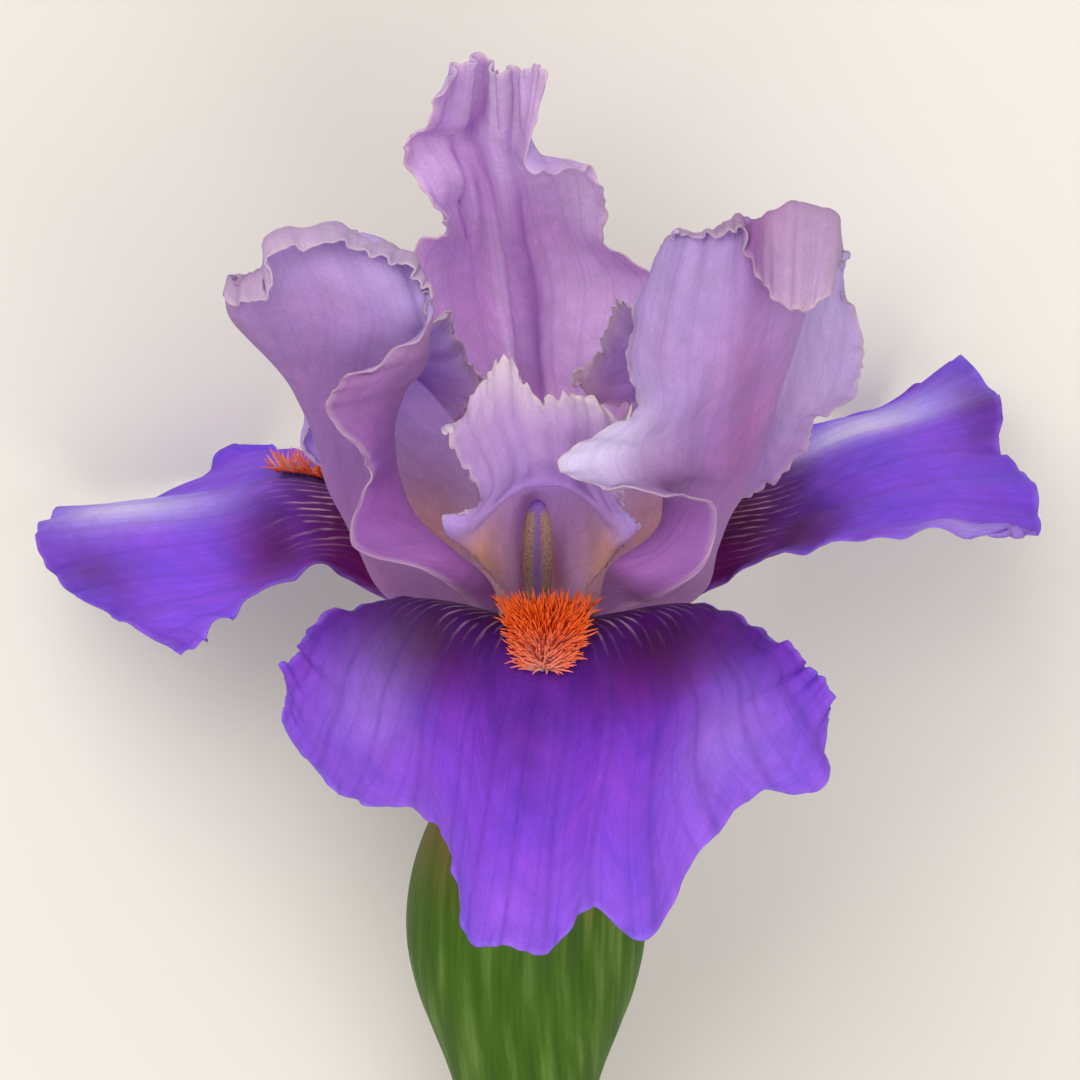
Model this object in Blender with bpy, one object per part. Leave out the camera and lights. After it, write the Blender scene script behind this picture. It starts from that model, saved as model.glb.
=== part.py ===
"""A bearded iris flower, cut with a short stem and laid down on a table.

Blender 4.5, metres, +Z up. The flower lies on its back: its stem runs towards -Y along the table, the
standards point to +Y, and the front fall faces up. It rests on the cut end of the stem and on the far
margins of the left and the right fall.

Every petal is a sheet read through a small net of hand-chosen points, in millimetres. A net's rows run
from the petal's claw to its outer margin, and each row runs across the petal from one side to the other.
Points are measured from the spot on the table under the junction, where the petals leave the tube:
x to the right, y towards the tips of the standards, z above the table.
"""

import math

import bmesh
import bpy
import numpy as np
from mathutils.bvhtree import BVHTree

# Driving dimensions, in millimetres unless a name says otherwise.
FLOWER_WIDTH = 120.6  # across the two side falls
UNIT = 0.001 * FLOWER_WIDTH / 120.6  # one millimetre of the nets, in metres
JUNCTION_HEIGHT = 46.0  # of the petals' junction above the table
AXIS_TILT_DEG = 22.0  # rise of the flower's axis from the stem's cut end to the standards
PLACE = (-1.44, -18.82, 0.0)  # the middle of the flower's box on the table, from the spot under the junction
PETAL_THICKNESS = 0.8
MARGIN_THICKNESS = 0.64
FLAT_MARGIN = 0.25  # a sheet this near the table lies flat on it
SEAT_GAP = 0.3  # between a piece and what it grows from
TUBE_RIM_RADIUS = 9.0
STEM_RADIUS = 4.3
STEM_LENGTH = 112.6  # from the junction to the cut end

# The nets.

FRONT_FALL = [
    [(-2.8, -1.6, 53.5), (2.8, -1.6, 53.5), (0.0, 0.0, 0.6)],
    [(-4.0, 0.6, 63.0), (4.0, 0.6, 63.0), (0.0, 0.4, -0.6)],
    [(-7.6, 3.0, 70.6), (7.6, 2.6, 70.6), (0.0, -0.8, 2.8)],
    [(-20, 4.9, 72.0), (-17.5, 4.4, 74), (-14.6, 4.0, 76), (-12, 3.0, 77.6), (-9, 1.6, 79), (-6, 0.2, 80.4),
     (-3, -0.8, 81.6), (0, -1.2, 82), (3, -1, 81.8), (6, 0.0, 80.8), (9, 1.2, 79.6), (12, 2.2, 78.2),
     (15, 3.0, 76.8), (18, 3.4, 75), (21, 3.4, 73)],
    [(-28.0, 0.8, 70.5), (-24, -1.8, 74), (-20, -4.2, 77.4), (-16.4, -6.2, 80.2), (-12.8, -7.4, 82.6),
     (-9.2, -8.8, 84.8), (-5.2, -10, 86.4), (-1.2, -10.6, 87.2), (3.2, -10.4, 87), (7.4, -9.6, 86),
     (11.4, -8.4, 84.4), (15.6, -6.8, 82.2), (19.8, -4.8, 79.4), (24.2, -2.8, 76.2), (28.4, -0.8, 72.6)],
    [(-29.6, -3.0, 69.5), (-27, -8, 74), (-22.5, -11.6, 78.2), (-18.2, -13.4, 80.6), (-13.6, -14.4, 83.4),
     (-10, -17.4, 85.8), (-6.6, -21.6, 87.6), (-3, -23.6, 88.2), (1.4, -23.8, 88.2), (5.6, -21.6, 87.4),
     (10.2, -20.2, 86.2), (15.2, -16.4, 83.6), (20.6, -12.4, 80.2), (27, -9.0, 76.4), (31.8, -4.2, 72.6)],
    [(-29.9, -5.6, 70.5), (-29.4, -11.7, 73), (-25.0, -16.9, 75.5), (-20.7, -19.1, 77.8), (-13.9, -20.0, 81),
     (-10.8, -25.4, 83.4), (-8.8, -33.8, 85.0), (-4.6, -34.5, 85.8), (0.3, -35.5, 84.6), (5.2, -30.4, 86.4),
     (11.5, -34.1, 83), (17.8, -24.4, 82), (24.7, -17.7, 78.6), (31.5, -17.0, 74.4), (33.1, -8.6, 71.6)],
]

LEFT_FALL = [
    [(-5.0, 3.6, 40.6), (-7.6, 1.0, 45.2), (0.0, 0.3, 0.0)],
    [(-8.6, 8.2, 37.0), (-12.4, 2.0, 45.4), (0.0, 2.8, 1.4)],
    [(-14.0, 12.5, 29.0), (-19.4, 4.6, 45.0), (0.0, 5.5, 4.0)],
    [(-20.5, 17, 20), (-24, 18.6, 22), (-27, 19.6, 25.5), (-29, 19.6, 29.5), (-29.8, 18.6, 33.5),
     (-29.6, 16.8, 37), (-29, 14.8, 40), (-28.2, 12.6, 42.6), (-27.4, 10.6, 45), (-26.6, 9.0, 46.6),
     (-26.2, 7.8, 47.8)],
    [(-26.5, 21, 12), (-31.5, 20.8, 13), (-35.5, 20.2, 17), (-38.5, 18.6, 23), (-39.5, 17, 29), (-39.2, 14.5, 34),
     (-38.3, 11.8, 38.5), (-37, 9, 42), (-35.6, 7.0, 45.5), (-34.5, 5.4, 48.0), (-33.7, 4.2, 50.2)],
    [(-31.5, 22.5, 5.0), (-37, 22.0, 3.6), (-42.5, 19, 6.6), (-48, 16.8, 12.5), (-51.5, 15.8, 20), (-52, 13.6, 26),
     (-51, 10.5, 31.5), (-49, 7.6, 36.5), (-46.5, 4.6, 42), (-42.8, 1.8, 47), (-38.6, 0.4, 51)],
    [(-35, 22.8, 0.9), (-40, 22.4, 0.4), (-45, 17.5, 1.5), (-52, 14.2, 5.5), (-59.5, 14.8, 11), (-61.9, 13, 15.5),
     (-60.8, 9, 21.5), (-57.6, 5.6, 28), (-53.5, 3.2, 35), (-48, 0.6, 43), (-42, -2.7, 51.5)],
]

RIGHT_FALL = [
    [(7.6, 1.0, 45.2), (5.0, 3.6, 40.6), (0.0, 0.3, 0.0)],
    [(12.0, 2.2, 45.6), (8.6, 8.2, 37.0), (0.0, 2.8, 1.4)],
    [(18.0, 4.6, 45.5), (14.0, 12.5, 29.0), (0.0, 5.5, 4.0)],
    [(25, 8.0, 48.5), (26.5, 9.8, 46.5), (27.6, 11.8, 44), (28.4, 13.8, 41), (29, 15.8, 37.8), (29.2, 17.8, 34.2),
     (28.9, 19.8, 30.4), (28, 21.2, 26.5), (26.4, 21.4, 23.2), (24.3, 20.6, 20.6), (22, 19.2, 18.8)],
    [(34.5, 10.0, 51.5), (36.5, 12.2, 48), (37.5, 14.6, 44), (38, 17, 39.5), (38, 19.4, 34.5), (37.8, 21.6, 29.5),
     (37.2, 23.6, 24.5), (36, 25, 19.5), (34, 25.3, 15), (31.5, 24.6, 11.5), (29, 23.4, 9)],
    [(44.4, 11.4, 51), (46.5, 13.5, 46), (47.5, 16.5, 41), (47.5, 19.3, 35.5), (46.8, 21.6, 30), (46.5, 24, 24.5),
     (46, 26, 19.5), (44.8, 27.8, 14), (42.5, 28, 9), (39.5, 26.8, 5), (36, 25, 3)],
    [(54.5, 12.2, 44.5), (58.7, 12.2, 41), (58.9, 16.2, 36), (57.4, 20.5, 30.5), (54.8, 22.2, 27),
     (55.5, 26.5, 21), (55.2, 29.5, 17), (53.2, 31.8, 13), (50.6, 34.2, 9), (47, 30.2, 5), (41, 26.3, 0.5)],
]

LEFT_STANDARD = [
    [(-7.2, 1.0, 47.4), (-4.9, -1.2, 52.2), (-0.6, -0.5, 0.5)],
    [(-12.5, 4.5, 47), (-13.6, 4.0, 48.5), (-14.2, 3.2, 50.5), (-14, 2.4, 53), (-12.8, 1.8, 56), (-10, 3.6, 60.5),
     (-6.6, 5.8, 65.0), (-6.4, 5.2, 67.2), (-8.2, 3.8, 67.8)],
    [(-15.5, 8.8, 50), (-17.6, 8, 51.5), (-19, 7, 54), (-19, 5.8, 57.5), (-18, 5.6, 61.5), (-14.6, 8.0, 68.5),
     (-10.6, 10, 74.4), (-11.4, 9.2, 77.0), (-13.8, 8.0, 77.6)],
    [(-16.8, 13.6, 52.5), (-19.4, 12.8, 54), (-21.2, 11.5, 56.5), (-21.3, 10.2, 60), (-20.4, 10.6, 64),
     (-17.8, 12.2, 69.5), (-14.7, 13.8, 74.4), (-16.8, 11.6, 77.8), (-20.6, 9.8, 77.6)],
    [(-17.6, 18, 53.5), (-20.8, 17.4, 55), (-22.8, 16, 58), (-23, 14.6, 61.5), (-22.2, 15, 65.5), (-19.4, 16.2, 69),
     (-16.5, 17.3, 73.0), (-19.6, 14.8, 77.2), (-22.4, 12.4, 77.8)],
    [(-20.2, 22.4, 54.5), (-23.2, 21.6, 56), (-24.4, 20, 59), (-24.6, 18.6, 62.5), (-23.6, 19.4, 66.5),
     (-20.4, 20.2, 69.5), (-17.4, 21.3, 71.5), (-18.6, 19.8, 76.3), (-20.3, 18.2, 78.5)],
    [(-22.8, 27.2, 55.4), (-25.4, 26.4, 57.4), (-25.8, 25, 60.8), (-26, 23.8, 64.5), (-24.6, 23.6, 68),
     (-21, 24.2, 70.5), (-17.4, 24.9, 72.4), (-18.8, 22.8, 77.6), (-20.8, 21.3, 79.8)],
    [(-25.4, 32.2, 57.6), (-28.0, 31.4, 59.6), (-28.2, 30, 63.5), (-28.2, 28.8, 67.5), (-25.4, 28.4, 71.5),
     (-20.4, 28.6, 73), (-16, 29, 74), (-19.6, 26.8, 79.5), (-24.9, 25.5, 81)],
    [(-27.2, 36, 60.4), (-30.4, 35, 62.8), (-30.8, 33.2, 67), (-30.2, 31.9, 71), (-25.8, 32.4, 75), (-19.8, 32.2, 75.5),
     (-14.1, 31.4, 75.2), (-18.4, 29.8, 80.6), (-24.3, 28.8, 82.3)],
    [(-29.4, 39.2, 63.6), (-32.6, 38, 66.4), (-33.4, 36.2, 70.5), (-32.5, 34.9, 75.5), (-26, 37, 78.5),
     (-19, 36.2, 78), (-13.4, 33.8, 76.4), (-15.8, 32.2, 80.4), (-20.6, 30.8, 82.2)],
    [(-30, 41.6, 67.5), (-33.8, 40.2, 70), (-35.6, 38.8, 74), (-34.2, 37.4, 79), (-27.6, 41.2, 81),
     (-20.6, 40.6, 80.5), (-14.6, 38.6, 78.2), (-13.0, 36.6, 79.4), (-14.4, 34.4, 81.6)],
    [(-30.8, 42.2, 70.5), (-33.8, 41.8, 74), (-35.8, 41.4, 79), (-32.6, 41.8, 82.4), (-30.2, 45.8, 81.8),
     (-23.8, 47.0, 80.0), (-17.4, 45.0, 77.6), (-14.2, 42.6, 77.2), (-13.2, 39.2, 78.6)],
    [(-31.4, 41.8, 72.0), (-34.8, 41.2, 76.5), (-36.2, 38.8, 81.6), (-32.0, 38.6, 85.4), (-29.8, 43.8, 85.0),
     (-23.6, 44.9, 83.8), (-18.4, 43.4, 81.4), (-15.0, 41.6, 80.4), (-13.4, 38.6, 80.8)],
]

RIGHT_STANDARD = [
    [(4.9, -1.2, 52.2), (7.2, 1.0, 47.4), (0.6, -0.5, 0.5)],
    [(8.8, 3.2, 67.0), (7.4, 5.0, 66.8), (7.0, 6.4, 65), (9.4, 4.4, 60.5), (11.5, 2.4, 56.5), (13.8, 2.6, 53),
     (14.4, 3.6, 50.5), (13.8, 4.4, 48.5), (12.8, 5, 47)],
    [(13.4, 5.2, 75.5), (10.4, 7.0, 76.5), (8.0, 8.8, 74), (12.4, 7.4, 68.0), (16.2, 5.6, 61.5), (18.4, 5.8, 57.5),
     (18.6, 7, 54), (17.6, 8, 51.5), (15.8, 8.8, 50)],
    [(18.0, 8.4, 78.2), (14, 9.8, 78.4), (11.2, 11.2, 75.4), (14.4, 11.2, 70.6), (17.6, 9.9, 64.5), (19.2, 9.8, 60.5),
     (20, 11, 57), (19, 12.4, 54), (17.6, 12.8, 52)],
    [(19.7, 13.2, 79), (15.6, 13.2, 78.4), (12.9, 13.6, 75), (15.8, 14.4, 71), (19.2, 13.6, 66.5),
     (20.9, 13.8, 62), (21.4, 14.9, 58.5), (21.4, 15.3, 56), (20.8, 15.2, 54.5)],
    [(18.8, 15.8, 80.8), (15.4, 15.6, 81), (13.2, 16.2, 77), (16.2, 17.0, 72.8), (20, 16.6, 69.0), (22.9, 17.2, 66.0),
     (21.6, 17.2, 60.6), (22.8, 17.0, 57.8), (23.4, 16.6, 56.1)],
    [(13.6, 16.8, 86.6), (13.4, 17.0, 83.6), (13.4, 17.6, 79.4), (16.6, 18.4, 74.0), (20.8, 18.2, 70.6), (23.6, 18.8, 67.8),
     (22.2, 18.6, 61.6), (24.2, 18.0, 58.8), (25.6, 17.4, 57)],
    [(5.0, 17.9, 86.6), (9.6, 17.9, 85.4), (13.6, 19.0, 81.0), (17.6, 19.6, 75.6), (21.6, 19.8, 72.2),
     (24.4, 20.6, 69.6), (22.8, 20.6, 62.8), (25.6, 19.8, 59.8), (27.6, 19.0, 58)],
    [(1.2, 20.1, 88.4), (8, 20.9, 87.6), (13.4, 21.6, 82.4), (17.8, 22.4, 77.6), (22.2, 22.8, 74.4), (25.4, 24, 71.6),
     (23.6, 23.8, 64.4), (27.2, 22.8, 61.6), (30.4, 22.0, 60.4)],
    [(6.2, 24.1, 86.0), (9.8, 23.2, 86.0), (13.6, 24, 82.6), (18, 25.2, 79.0), (22.8, 26, 76.4), (26.4, 27.2, 73.6),
     (24.6, 26.8, 66.2), (28.2, 25.6, 62.8), (31.4, 24.8, 61.8)],
    [(10.2, 26.2, 83.6), (12.2, 26.8, 83.8), (15, 27.6, 82.4), (19, 29, 80.4), (23.6, 30.4, 78.4), (27.5, 31.4, 75.6),
     (25.8, 30.8, 68.4), (30.4, 28.8, 64.8), (35.6, 27.8, 63.4)],
    [(9.2, 31.8, 77.5), (11.6, 32, 79.5), (15.2, 32.6, 80.8), (19.6, 33.6, 81), (24, 34.6, 80.0), (28.6, 35, 77.2),
     (27.2, 34.8, 70.4), (31.8, 33.4, 67.4), (36.9, 32.2, 65.8)],
    [(9.8, 38, 74.5), (12.6, 38.4, 77.5), (16.4, 38.8, 80), (20.6, 39.4, 81.5), (25, 39.8, 81.4), (29.4, 39.6, 78.8),
     (29.2, 39.0, 72.8), (33.0, 38.2, 70.2), (36.2, 37.2, 69)],
    [(13.3, 43.4, 73), (14.8, 45.9, 76), (18.2, 46, 79), (21.6, 47.8, 81.8), (24.6, 48, 83.5), (28.5, 49.7, 84),
     (32.8, 48.4, 81), (34, 44.6, 75.6), (33.6, 41.6, 71)],
    [(13.6, 44.2, 72), (14.9, 46.2, 77), (18.4, 46.0, 81.4), (22.0, 46.2, 85), (24.4, 40.4, 87), (27.8, 37.2, 88),
     (31.4, 38.4, 86.4), (33.6, 43.4, 80), (34, 43.0, 73.5)],
]

BACK_STANDARD = [
    [(2.6, 3.4, 40.2), (-2.6, 3.4, 40.2), (0.0, 0.4, -0.4)],
    [(5.0, 12.5, 37.0), (-5.0, 12.5, 37.0), (0.0, 0.6, -2.0)],
    [(9.0, 24.0, 33.0), (-11.0, 24.0, 34.0), (0.0, 1.0, -3.2)],
    [(12.0, 32.5, 35), (8.6, 33, 33.4), (4.4, 33.5, 32.6), (0.6, 33.5, 30.8), (-2.0, 33.5, 33.6), (-4.8, 33.5, 31.6),
     (-8.0, 33.5, 32.2), (-11, 33.2, 33.6), (-13.6, 33, 35.8)],
    [(14.2, 41.6, 38.5), (10, 42, 36.4), (5.4, 42, 34.6), (0.8, 42, 33), (-2.8, 42, 36.8), (-6, 41.5, 34.2),
     (-9.6, 42, 35), (-13.2, 43, 37), (-16.3, 45, 40.5)],
    [(7.6, 46, 44), (6, 47, 42.4), (3, 48.5, 40.4), (-0.8, 48.5, 38.4), (-4.2, 48.5, 41.6), (-6.6, 48, 39.8),
     (-9, 47.6, 41.2), (-11, 47.4, 43.2), (-12.4, 47.5, 45.8)],
    [(7.1, 52, 51), (5, 53.6, 50), (1.6, 54.4, 48.2), (-1.8, 54, 45.4), (-5, 54, 47.2), (-7.6, 53.8, 46),
     (-9.8, 53.4, 47.4), (-11.2, 52, 49.4), (-11.8, 50, 50.8)],
    [(4.4, 55, 54.6), (1.4, 55.4, 53.6), (-1.8, 55.6, 52.4), (-3.6, 57.2, 49.8), (-6, 58, 50.4), (-9, 58.4, 49.2),
     (-12.4, 58.6, 50.8), (-15.4, 58.6, 52.4), (-16.2, 57.2, 54)],
    [(-2, 54.5, 57.4), (-1.8, 57.4, 56.6), (-2.4, 60, 55), (-4, 60.8, 53), (-6, 61, 53.6), (-8, 61, 52.4),
     (-10.2, 60.8, 53.6), (-12.6, 60.4, 54.6), (-14, 60, 56.2)],
    [(0.4, 66.4, 60), (-1.2, 67.0, 58.7), (-2.8, 66.4, 57.5), (-4.4, 67.1, 56.9), (-6, 66.4, 57.9),
     (-7.6, 67.9, 57.1), (-9.2, 67.3, 57.9), (-10.6, 66.5, 58.9), (-11.4, 64.6, 60.1)],
]

# One style arm, in the flower's own frame: outwards from its axis, across, and up along the axis.
STYLE_ARM = [
    [(1.4, -1.6, 2.0), (1.4, 1.6, 2.0), (0.0, 0.0, 1.4)],
    [(6.6, -3.8, 4.6), (6.6, 3.8, 4.6), (-0.6, 0.0, 5.0)],
    [(10.6, -4.4, 8.8), (10.6, 4.2, 8.8), (-0.6, 0.0, 8.2)],
    [(13.2, -5.6, 12.2), (14.4, -6.0, 15.2), (14.8, -5.4, 18.6), (14.2, -3.4, 21.8), (13.6, 0, 23.0),
     (14.2, 3.4, 21.8), (14.8, 5.2, 18.4), (14.4, 5.8, 15.0), (13.2, 5.2, 12.0)],
    [(18.4, -8.8, 18.0), (20.2, -8.4, 20.4), (21.0, -6.8, 23.4), (21.2, -3.8, 27.8), (21.2, 0, 29.4),
     (21.2, 3.8, 27.8), (21.0, 6.6, 23.0), (20.2, 7.8, 19.8), (18.4, 7.8, 17.4)],
    [(22.6, -12.4, 24.2), (24.2, -9.8, 23.8), (25.6, -6.9, 25.8), (27.4, -3.6, 29.4), (28.0, 0, 30.8),
     (27.4, 3.6, 29.4), (25.6, 6.8, 26.0), (24.2, 9.2, 23.8), (22.6, 11.2, 24.0)],
    [(25.2, -7.6, 26.6), (25.6, -6.4, 28.8), (26.0, -4.8, 30.6), (26.4, -2.6, 32.2), (26.4, -0.3, 32.8),
     (26.4, 2.8, 32.2), (26.0, 5.2, 30.6), (25.6, 7, 29.0), (25.2, 8.6, 27.2)],
    [(24.4, -10.8, 32.8), (24.2, -9.2, 35.3), (24.2, -6.8, 37.6), (24.2, -4, 38.2), (24.4, -0.8, 36.6),
     (24.4, 2.8, 37.4), (24.4, 6, 36.0), (24.4, 9, 33.8), (24.6, 11.4, 30.4)],
    [(23.6, -10.2, 34.9), (23.0, -9.0, 37.5), (22.4, -7.1, 42.1), (22.0, -4.2, 44.3), (23.0, -1.4, 39.7),
     (22.6, 2.2, 39.9), (22.6, 5.2, 39.5), (23.2, 8.4, 36.9), (24.0, 11.6, 32.1)],
]
# The last rows of a side arm, whose crest folds in over the flower's middle, from its rear side to its front.
SIDE_CREST = [
    [(21.0, -8.4, 24.0), (22.5, -7.2, 27.0), (24.0, -5.2, 29.5), (25.0, -2.8, 31.5), (25.5, -0.3, 32.4),
     (25.5, 2.8, 32.0), (25.2, 5.2, 31.0), (24.4, 6.2, 29.3), (23.8, 7.2, 27.6)],
    [(12.8, -7.6, 22.6), (15.0, -6.8, 27.5), (17.0, -5.4, 31.5), (18.4, -3.6, 34.0), (20.0, -0.6, 33.5),
     (19.5, 3.0, 35.0), (20.0, 6.0, 34.0), (19.8, 7.2, 32.0), (20.2, 7.8, 29.6)],
    [(11.0, -7.2, 26.5), (13.6, -6.2, 30.2), (14.2, -5.0, 34.3), (14.8, -3.2, 37.6), (17.4, -0.4, 34.4),
     (16.5, 3.5, 37.6), (17.0, 6.0, 37.0), (17.4, 7.2, 34.2), (18.2, 8.0, 31.2)],
]
# The arms: azimuth in degrees, width as a share, skew, and how far the crest's top moves outwards and up.
STYLE_ARMS = {
    "front": (-90.0, 1.0, 0.0, 0.0, 0.0),
    "left": (152.0, 1.12, 0.25, 0.0, 0.0),
    "right": (28.0, 1.12, 0.25, -3.2, 2.0),
}
STYLE_COLUMN_RADIUS = 3.6

# Waves of the margins, in millimetres: seed, height and how many along a side and along the outer edge.
WAVES = {
    "fall_front": (3, 0.75, 5, 9),
    "fall_left": (7, 0.7, 6, 6),
    "fall_right": (11, 0.7, 6, 6),
    "standard_left": (17, 0.45, 9, 8),
    "standard_right": (23, 0.45, 9, 8),
    "standard_back": (29, 0.55, 9, 6),
    "style": (31, 0.5, 3, 7),
}


def span(first, last, bow, count):
    """Points from first to last, pushed out by bow in the middle."""
    share = np.linspace(0.0, 1.0, count)[:, None]
    straight = np.array(first) * (1 - share) + np.array(last) * share
    return straight + np.array(bow) * np.sin(math.pi * share)


def full_net(rows):
    """The net as an array: a row of three entries is two ends and a bow."""
    count = max(len(row) for row in rows)
    return np.array([span(*row, count) if len(row) == 3 else np.array(row, float) for row in rows])


def spline_weights(count, where):
    """Weights that read a smooth curve through count points at each place in where, from 0 to 1."""
    place = np.clip(where, 0, 1) * (count - 1)
    first = np.minimum(place.astype(int), count - 2)
    f = place - first
    basis = 0.5 * np.stack([
        -f + 2 * f**2 - f**3,
        2 - 5 * f**2 + 3 * f**3,
        f + 4 * f**2 - 3 * f**3,
        -(f**2) + f**3,
    ], axis=1)
    weights = np.zeros((len(where), count + 2))
    for step in range(4):
        weights[np.arange(len(where)), first + step] += basis[:, step]
    # Past both ends the curve goes straight on.
    weights[:, 1] += 2 * weights[:, 0]
    weights[:, 2] -= weights[:, 0]
    weights[:, count] += 2 * weights[:, count + 1]
    weights[:, count - 1] -= weights[:, count + 1]
    return weights[:, 1:count + 1]


def read_net(net, along, across):
    """The sheet's points at these places along and across the net."""
    first = spline_weights(net.shape[0], along)
    second = spline_weights(net.shape[1], across)
    return np.einsum("ai,ijk,bj->abk", first, net, second)


def normals_of(grid):
    """Unit normals of a sheet."""
    along = np.gradient(grid, axis=0)
    across = np.gradient(grid, axis=1)
    normal = np.cross(along, across)
    return normal / np.maximum(np.linalg.norm(normal, axis=2, keepdims=True), 1e-9)


def wave(places, seed, count):
    """A wavy line between -1 and 1 that never quite repeats."""
    draw = np.random.default_rng(seed)
    first, second, third = draw.uniform(0, 2 * math.pi, 3)
    turns = 2 * math.pi * count
    drift = 0.35 * np.sin(2 * math.pi * places + third)
    return 0.65 * np.sin(turns * places + first + drift) + 0.35 * np.sin(1.7 * turns * places + second)


def margin_waves(along, across, seed, height, side_count, end_count, reach=0.1):
    """How far the margins swing out of the sheet."""
    rise = np.clip((along - 0.25) / 0.3, 0, 1)[:, None]
    left = np.exp(-across / reach)[None, :] * wave(along, seed, side_count)[:, None]
    right = np.exp((across - 1) / reach)[None, :] * wave(along, seed + 1, side_count)[:, None]
    end = np.exp((along - 1) / reach)[:, None] * wave(across, seed + 2, end_count)[None, :]
    return height * (rise * (left + right) + end)


def to_table(grid, azimuth_deg=-90.0):
    """From outwards, across and up in the flower's frame to x, y and z on the table."""
    turn = math.radians(azimuth_deg)
    out, side, up = grid[..., 0], grid[..., 1], grid[..., 2]
    right = out * math.cos(turn) - side * math.sin(turn)
    back = out * math.sin(turn) + side * math.cos(turn)
    tilt = math.radians(AXIS_TILT_DEG)
    y = math.cos(tilt) * up + math.sin(tilt) * back
    z = JUNCTION_HEIGHT + math.sin(tilt) * up - math.cos(tilt) * back
    return np.stack([right, y, z], axis=-1)


def petal_sheet(name, along, across):
    """The middle of a petal, with its waved margins."""
    grid = read_net(full_net(PETALS[name]), along, across)
    return grid + normals_of(grid) * margin_waves(along, across, *WAVES[name])[..., None]


def style_sheet(arm, along, across):
    """The middle of one style arm, with its crest. The right arm mirrors the left one."""
    azimuth, width, skew, move_out, move_up = STYLE_ARMS[arm]
    net = full_net(STYLE_ARM)
    if arm != "front":
        net[-3:] = np.array(SIDE_CREST)
    net[-2:, :, 0] += move_out * np.array([0.6, 1.0])[:, None]
    net[-2:, :, 2] += move_up * np.array([0.6, 1.0])[:, None]
    net[..., 1] *= width
    net[:-3, :, 0] += skew * net[:-3, :, 1] * np.clip(net[:-3, :, 2] / 10.0, 0, 1)
    grid = read_net(net, along, across)
    grid = grid + normals_of(grid) * margin_waves(along, across, *WAVES["style"])[..., None]
    if arm == "right":
        grid[..., 1] *= -1
    return to_table(grid, azimuth)


PETALS = {
    "fall_front": FRONT_FALL,
    "fall_left": LEFT_FALL,
    "fall_right": RIGHT_FALL,
    "standard_left": LEFT_STANDARD,
    "standard_right": RIGHT_STANDARD,
    "standard_back": BACK_STANDARD,
}
# Rows along and columns across each petal, coarse enough for a light solid.
PETAL_GRID = {
    "fall_front": (14, 27),
    "fall_left": (15, 17),
    "fall_right": (15, 17),
    "standard_left": (20, 19),
    "standard_right": (22, 19),
    "standard_back": (19, 15),
}
STYLE_GRID = (15, 13)
BRACT_GRID = (12, 13)

# The stamens: azimuth, then the middle line in the flower's frame as outwards and up.
STAMENS = {"front": -90.0, "left": 150.0, "right": 30.0}
STAMEN_PATH = [(5.6, 0.3), (6.6, 3.6), (8.2, 7.0), (9.6, 9.6), (12.6, 14.6), (15.8, 19.8), (18.0, 23.4), (18.7, 24.6)]
STAMEN_HALF_WIDTHS = [0.6, 0.6, 0.55, 1.5, 1.85, 1.7, 1.2, 0.5]

# The beards: each one's middle across its petal, how far up the petal it starts and ends, its half width there, its
# hairs and their length.
BEARDS = {
    "front": ("fall_front", 0.5, 0.33, 0.55, 4.4, 2.8, 60, 3.4),
    "left": ("fall_left", 0.33, 0.34, 0.54, 1.8, 1.3, 14, 4.2),
    "right": ("fall_right", 0.66, 0.34, 0.5, 1.8, 1.3, 14, 3.6),
}
BEARD_GRID = (9, 4)
BEARD_STRIP = 0.9  # the thickness of the strip the hairs grow from
HAIR_RADIUS = 0.3

# The stem, the ovary and the tube: height along the axis and radius.
STEM_PROFILE = [
    (-STEM_LENGTH, STEM_RADIUS), (-95, 4.2), (-78, 4.0), (-68, 3.9), (-60, 4.2), (-50, 4.9), (-40, 5.4),
    (-30, 5.0), (-22, 3.8), (-14, 3.2), (-8, 3.6), (-4, 5.0), (-1.6, 7.6), (0.0, TUBE_RIM_RADIUS),
]
# The two bracts: middle azimuth, half of the arc they wrap, offset outwards and how far their sides tuck in, then
# their profile as height and radius.
BRACTS = {"outer": (-100.0, 128.0, 1.7, 0.0), "inner": (80.0, 112.0, 0.0, 0.12)}
BRACT_PROFILE = [(-71, 4.9), (-66, 5.2), (-60, 6.2), (-55, 7.6), (-50, 9.4), (-45, 11.1), (-39, 12.2), (-33, 12.0),
                 (-27, 10.7), (-22, 9.0), (-17, 7.2), (-13, 5.8)]
BRACT_DEPTH = 0.82  # the bracts' depth as a share of their width
STEM_LEAN = 2.3  # how far the stem stands to the left of the flower's axis


def clear_scene():
    for item in list(bpy.data.objects):
        bpy.data.objects.remove(item, do_unlink=True)


def material(name, colour, roughness=0.5):
    made = bpy.data.materials.new(name)
    made.use_nodes = True
    shader = made.node_tree.nodes["Principled BSDF"]
    shader.inputs["Base Color"].default_value = (*colour, 1.0)
    shader.inputs["Roughness"].default_value = roughness
    made.diffuse_color = (*colour, 1.0)
    return made


def place(points):
    """From millimetres of the nets to metres round the origin."""
    return (np.asarray(points, float) - np.array(PLACE)) * UNIT


def add_object(name, points, faces, finish=None):
    """A mesh object from points in the nets' millimetres."""
    mesh = bpy.data.meshes.new(name)
    mesh.from_pydata(place(points).tolist(), [], [tuple(int(i) for i in face) for face in faces])
    made = bpy.data.objects.new(name, mesh)
    bpy.context.scene.collection.objects.link(made)
    work = bmesh.new()
    work.from_mesh(mesh)
    bmesh.ops.recalc_face_normals(work, faces=work.faces)
    work.to_mesh(mesh)
    work.free()
    mesh.shade_smooth()
    if finish:
        mesh.materials.append(finish)
    return made


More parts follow.
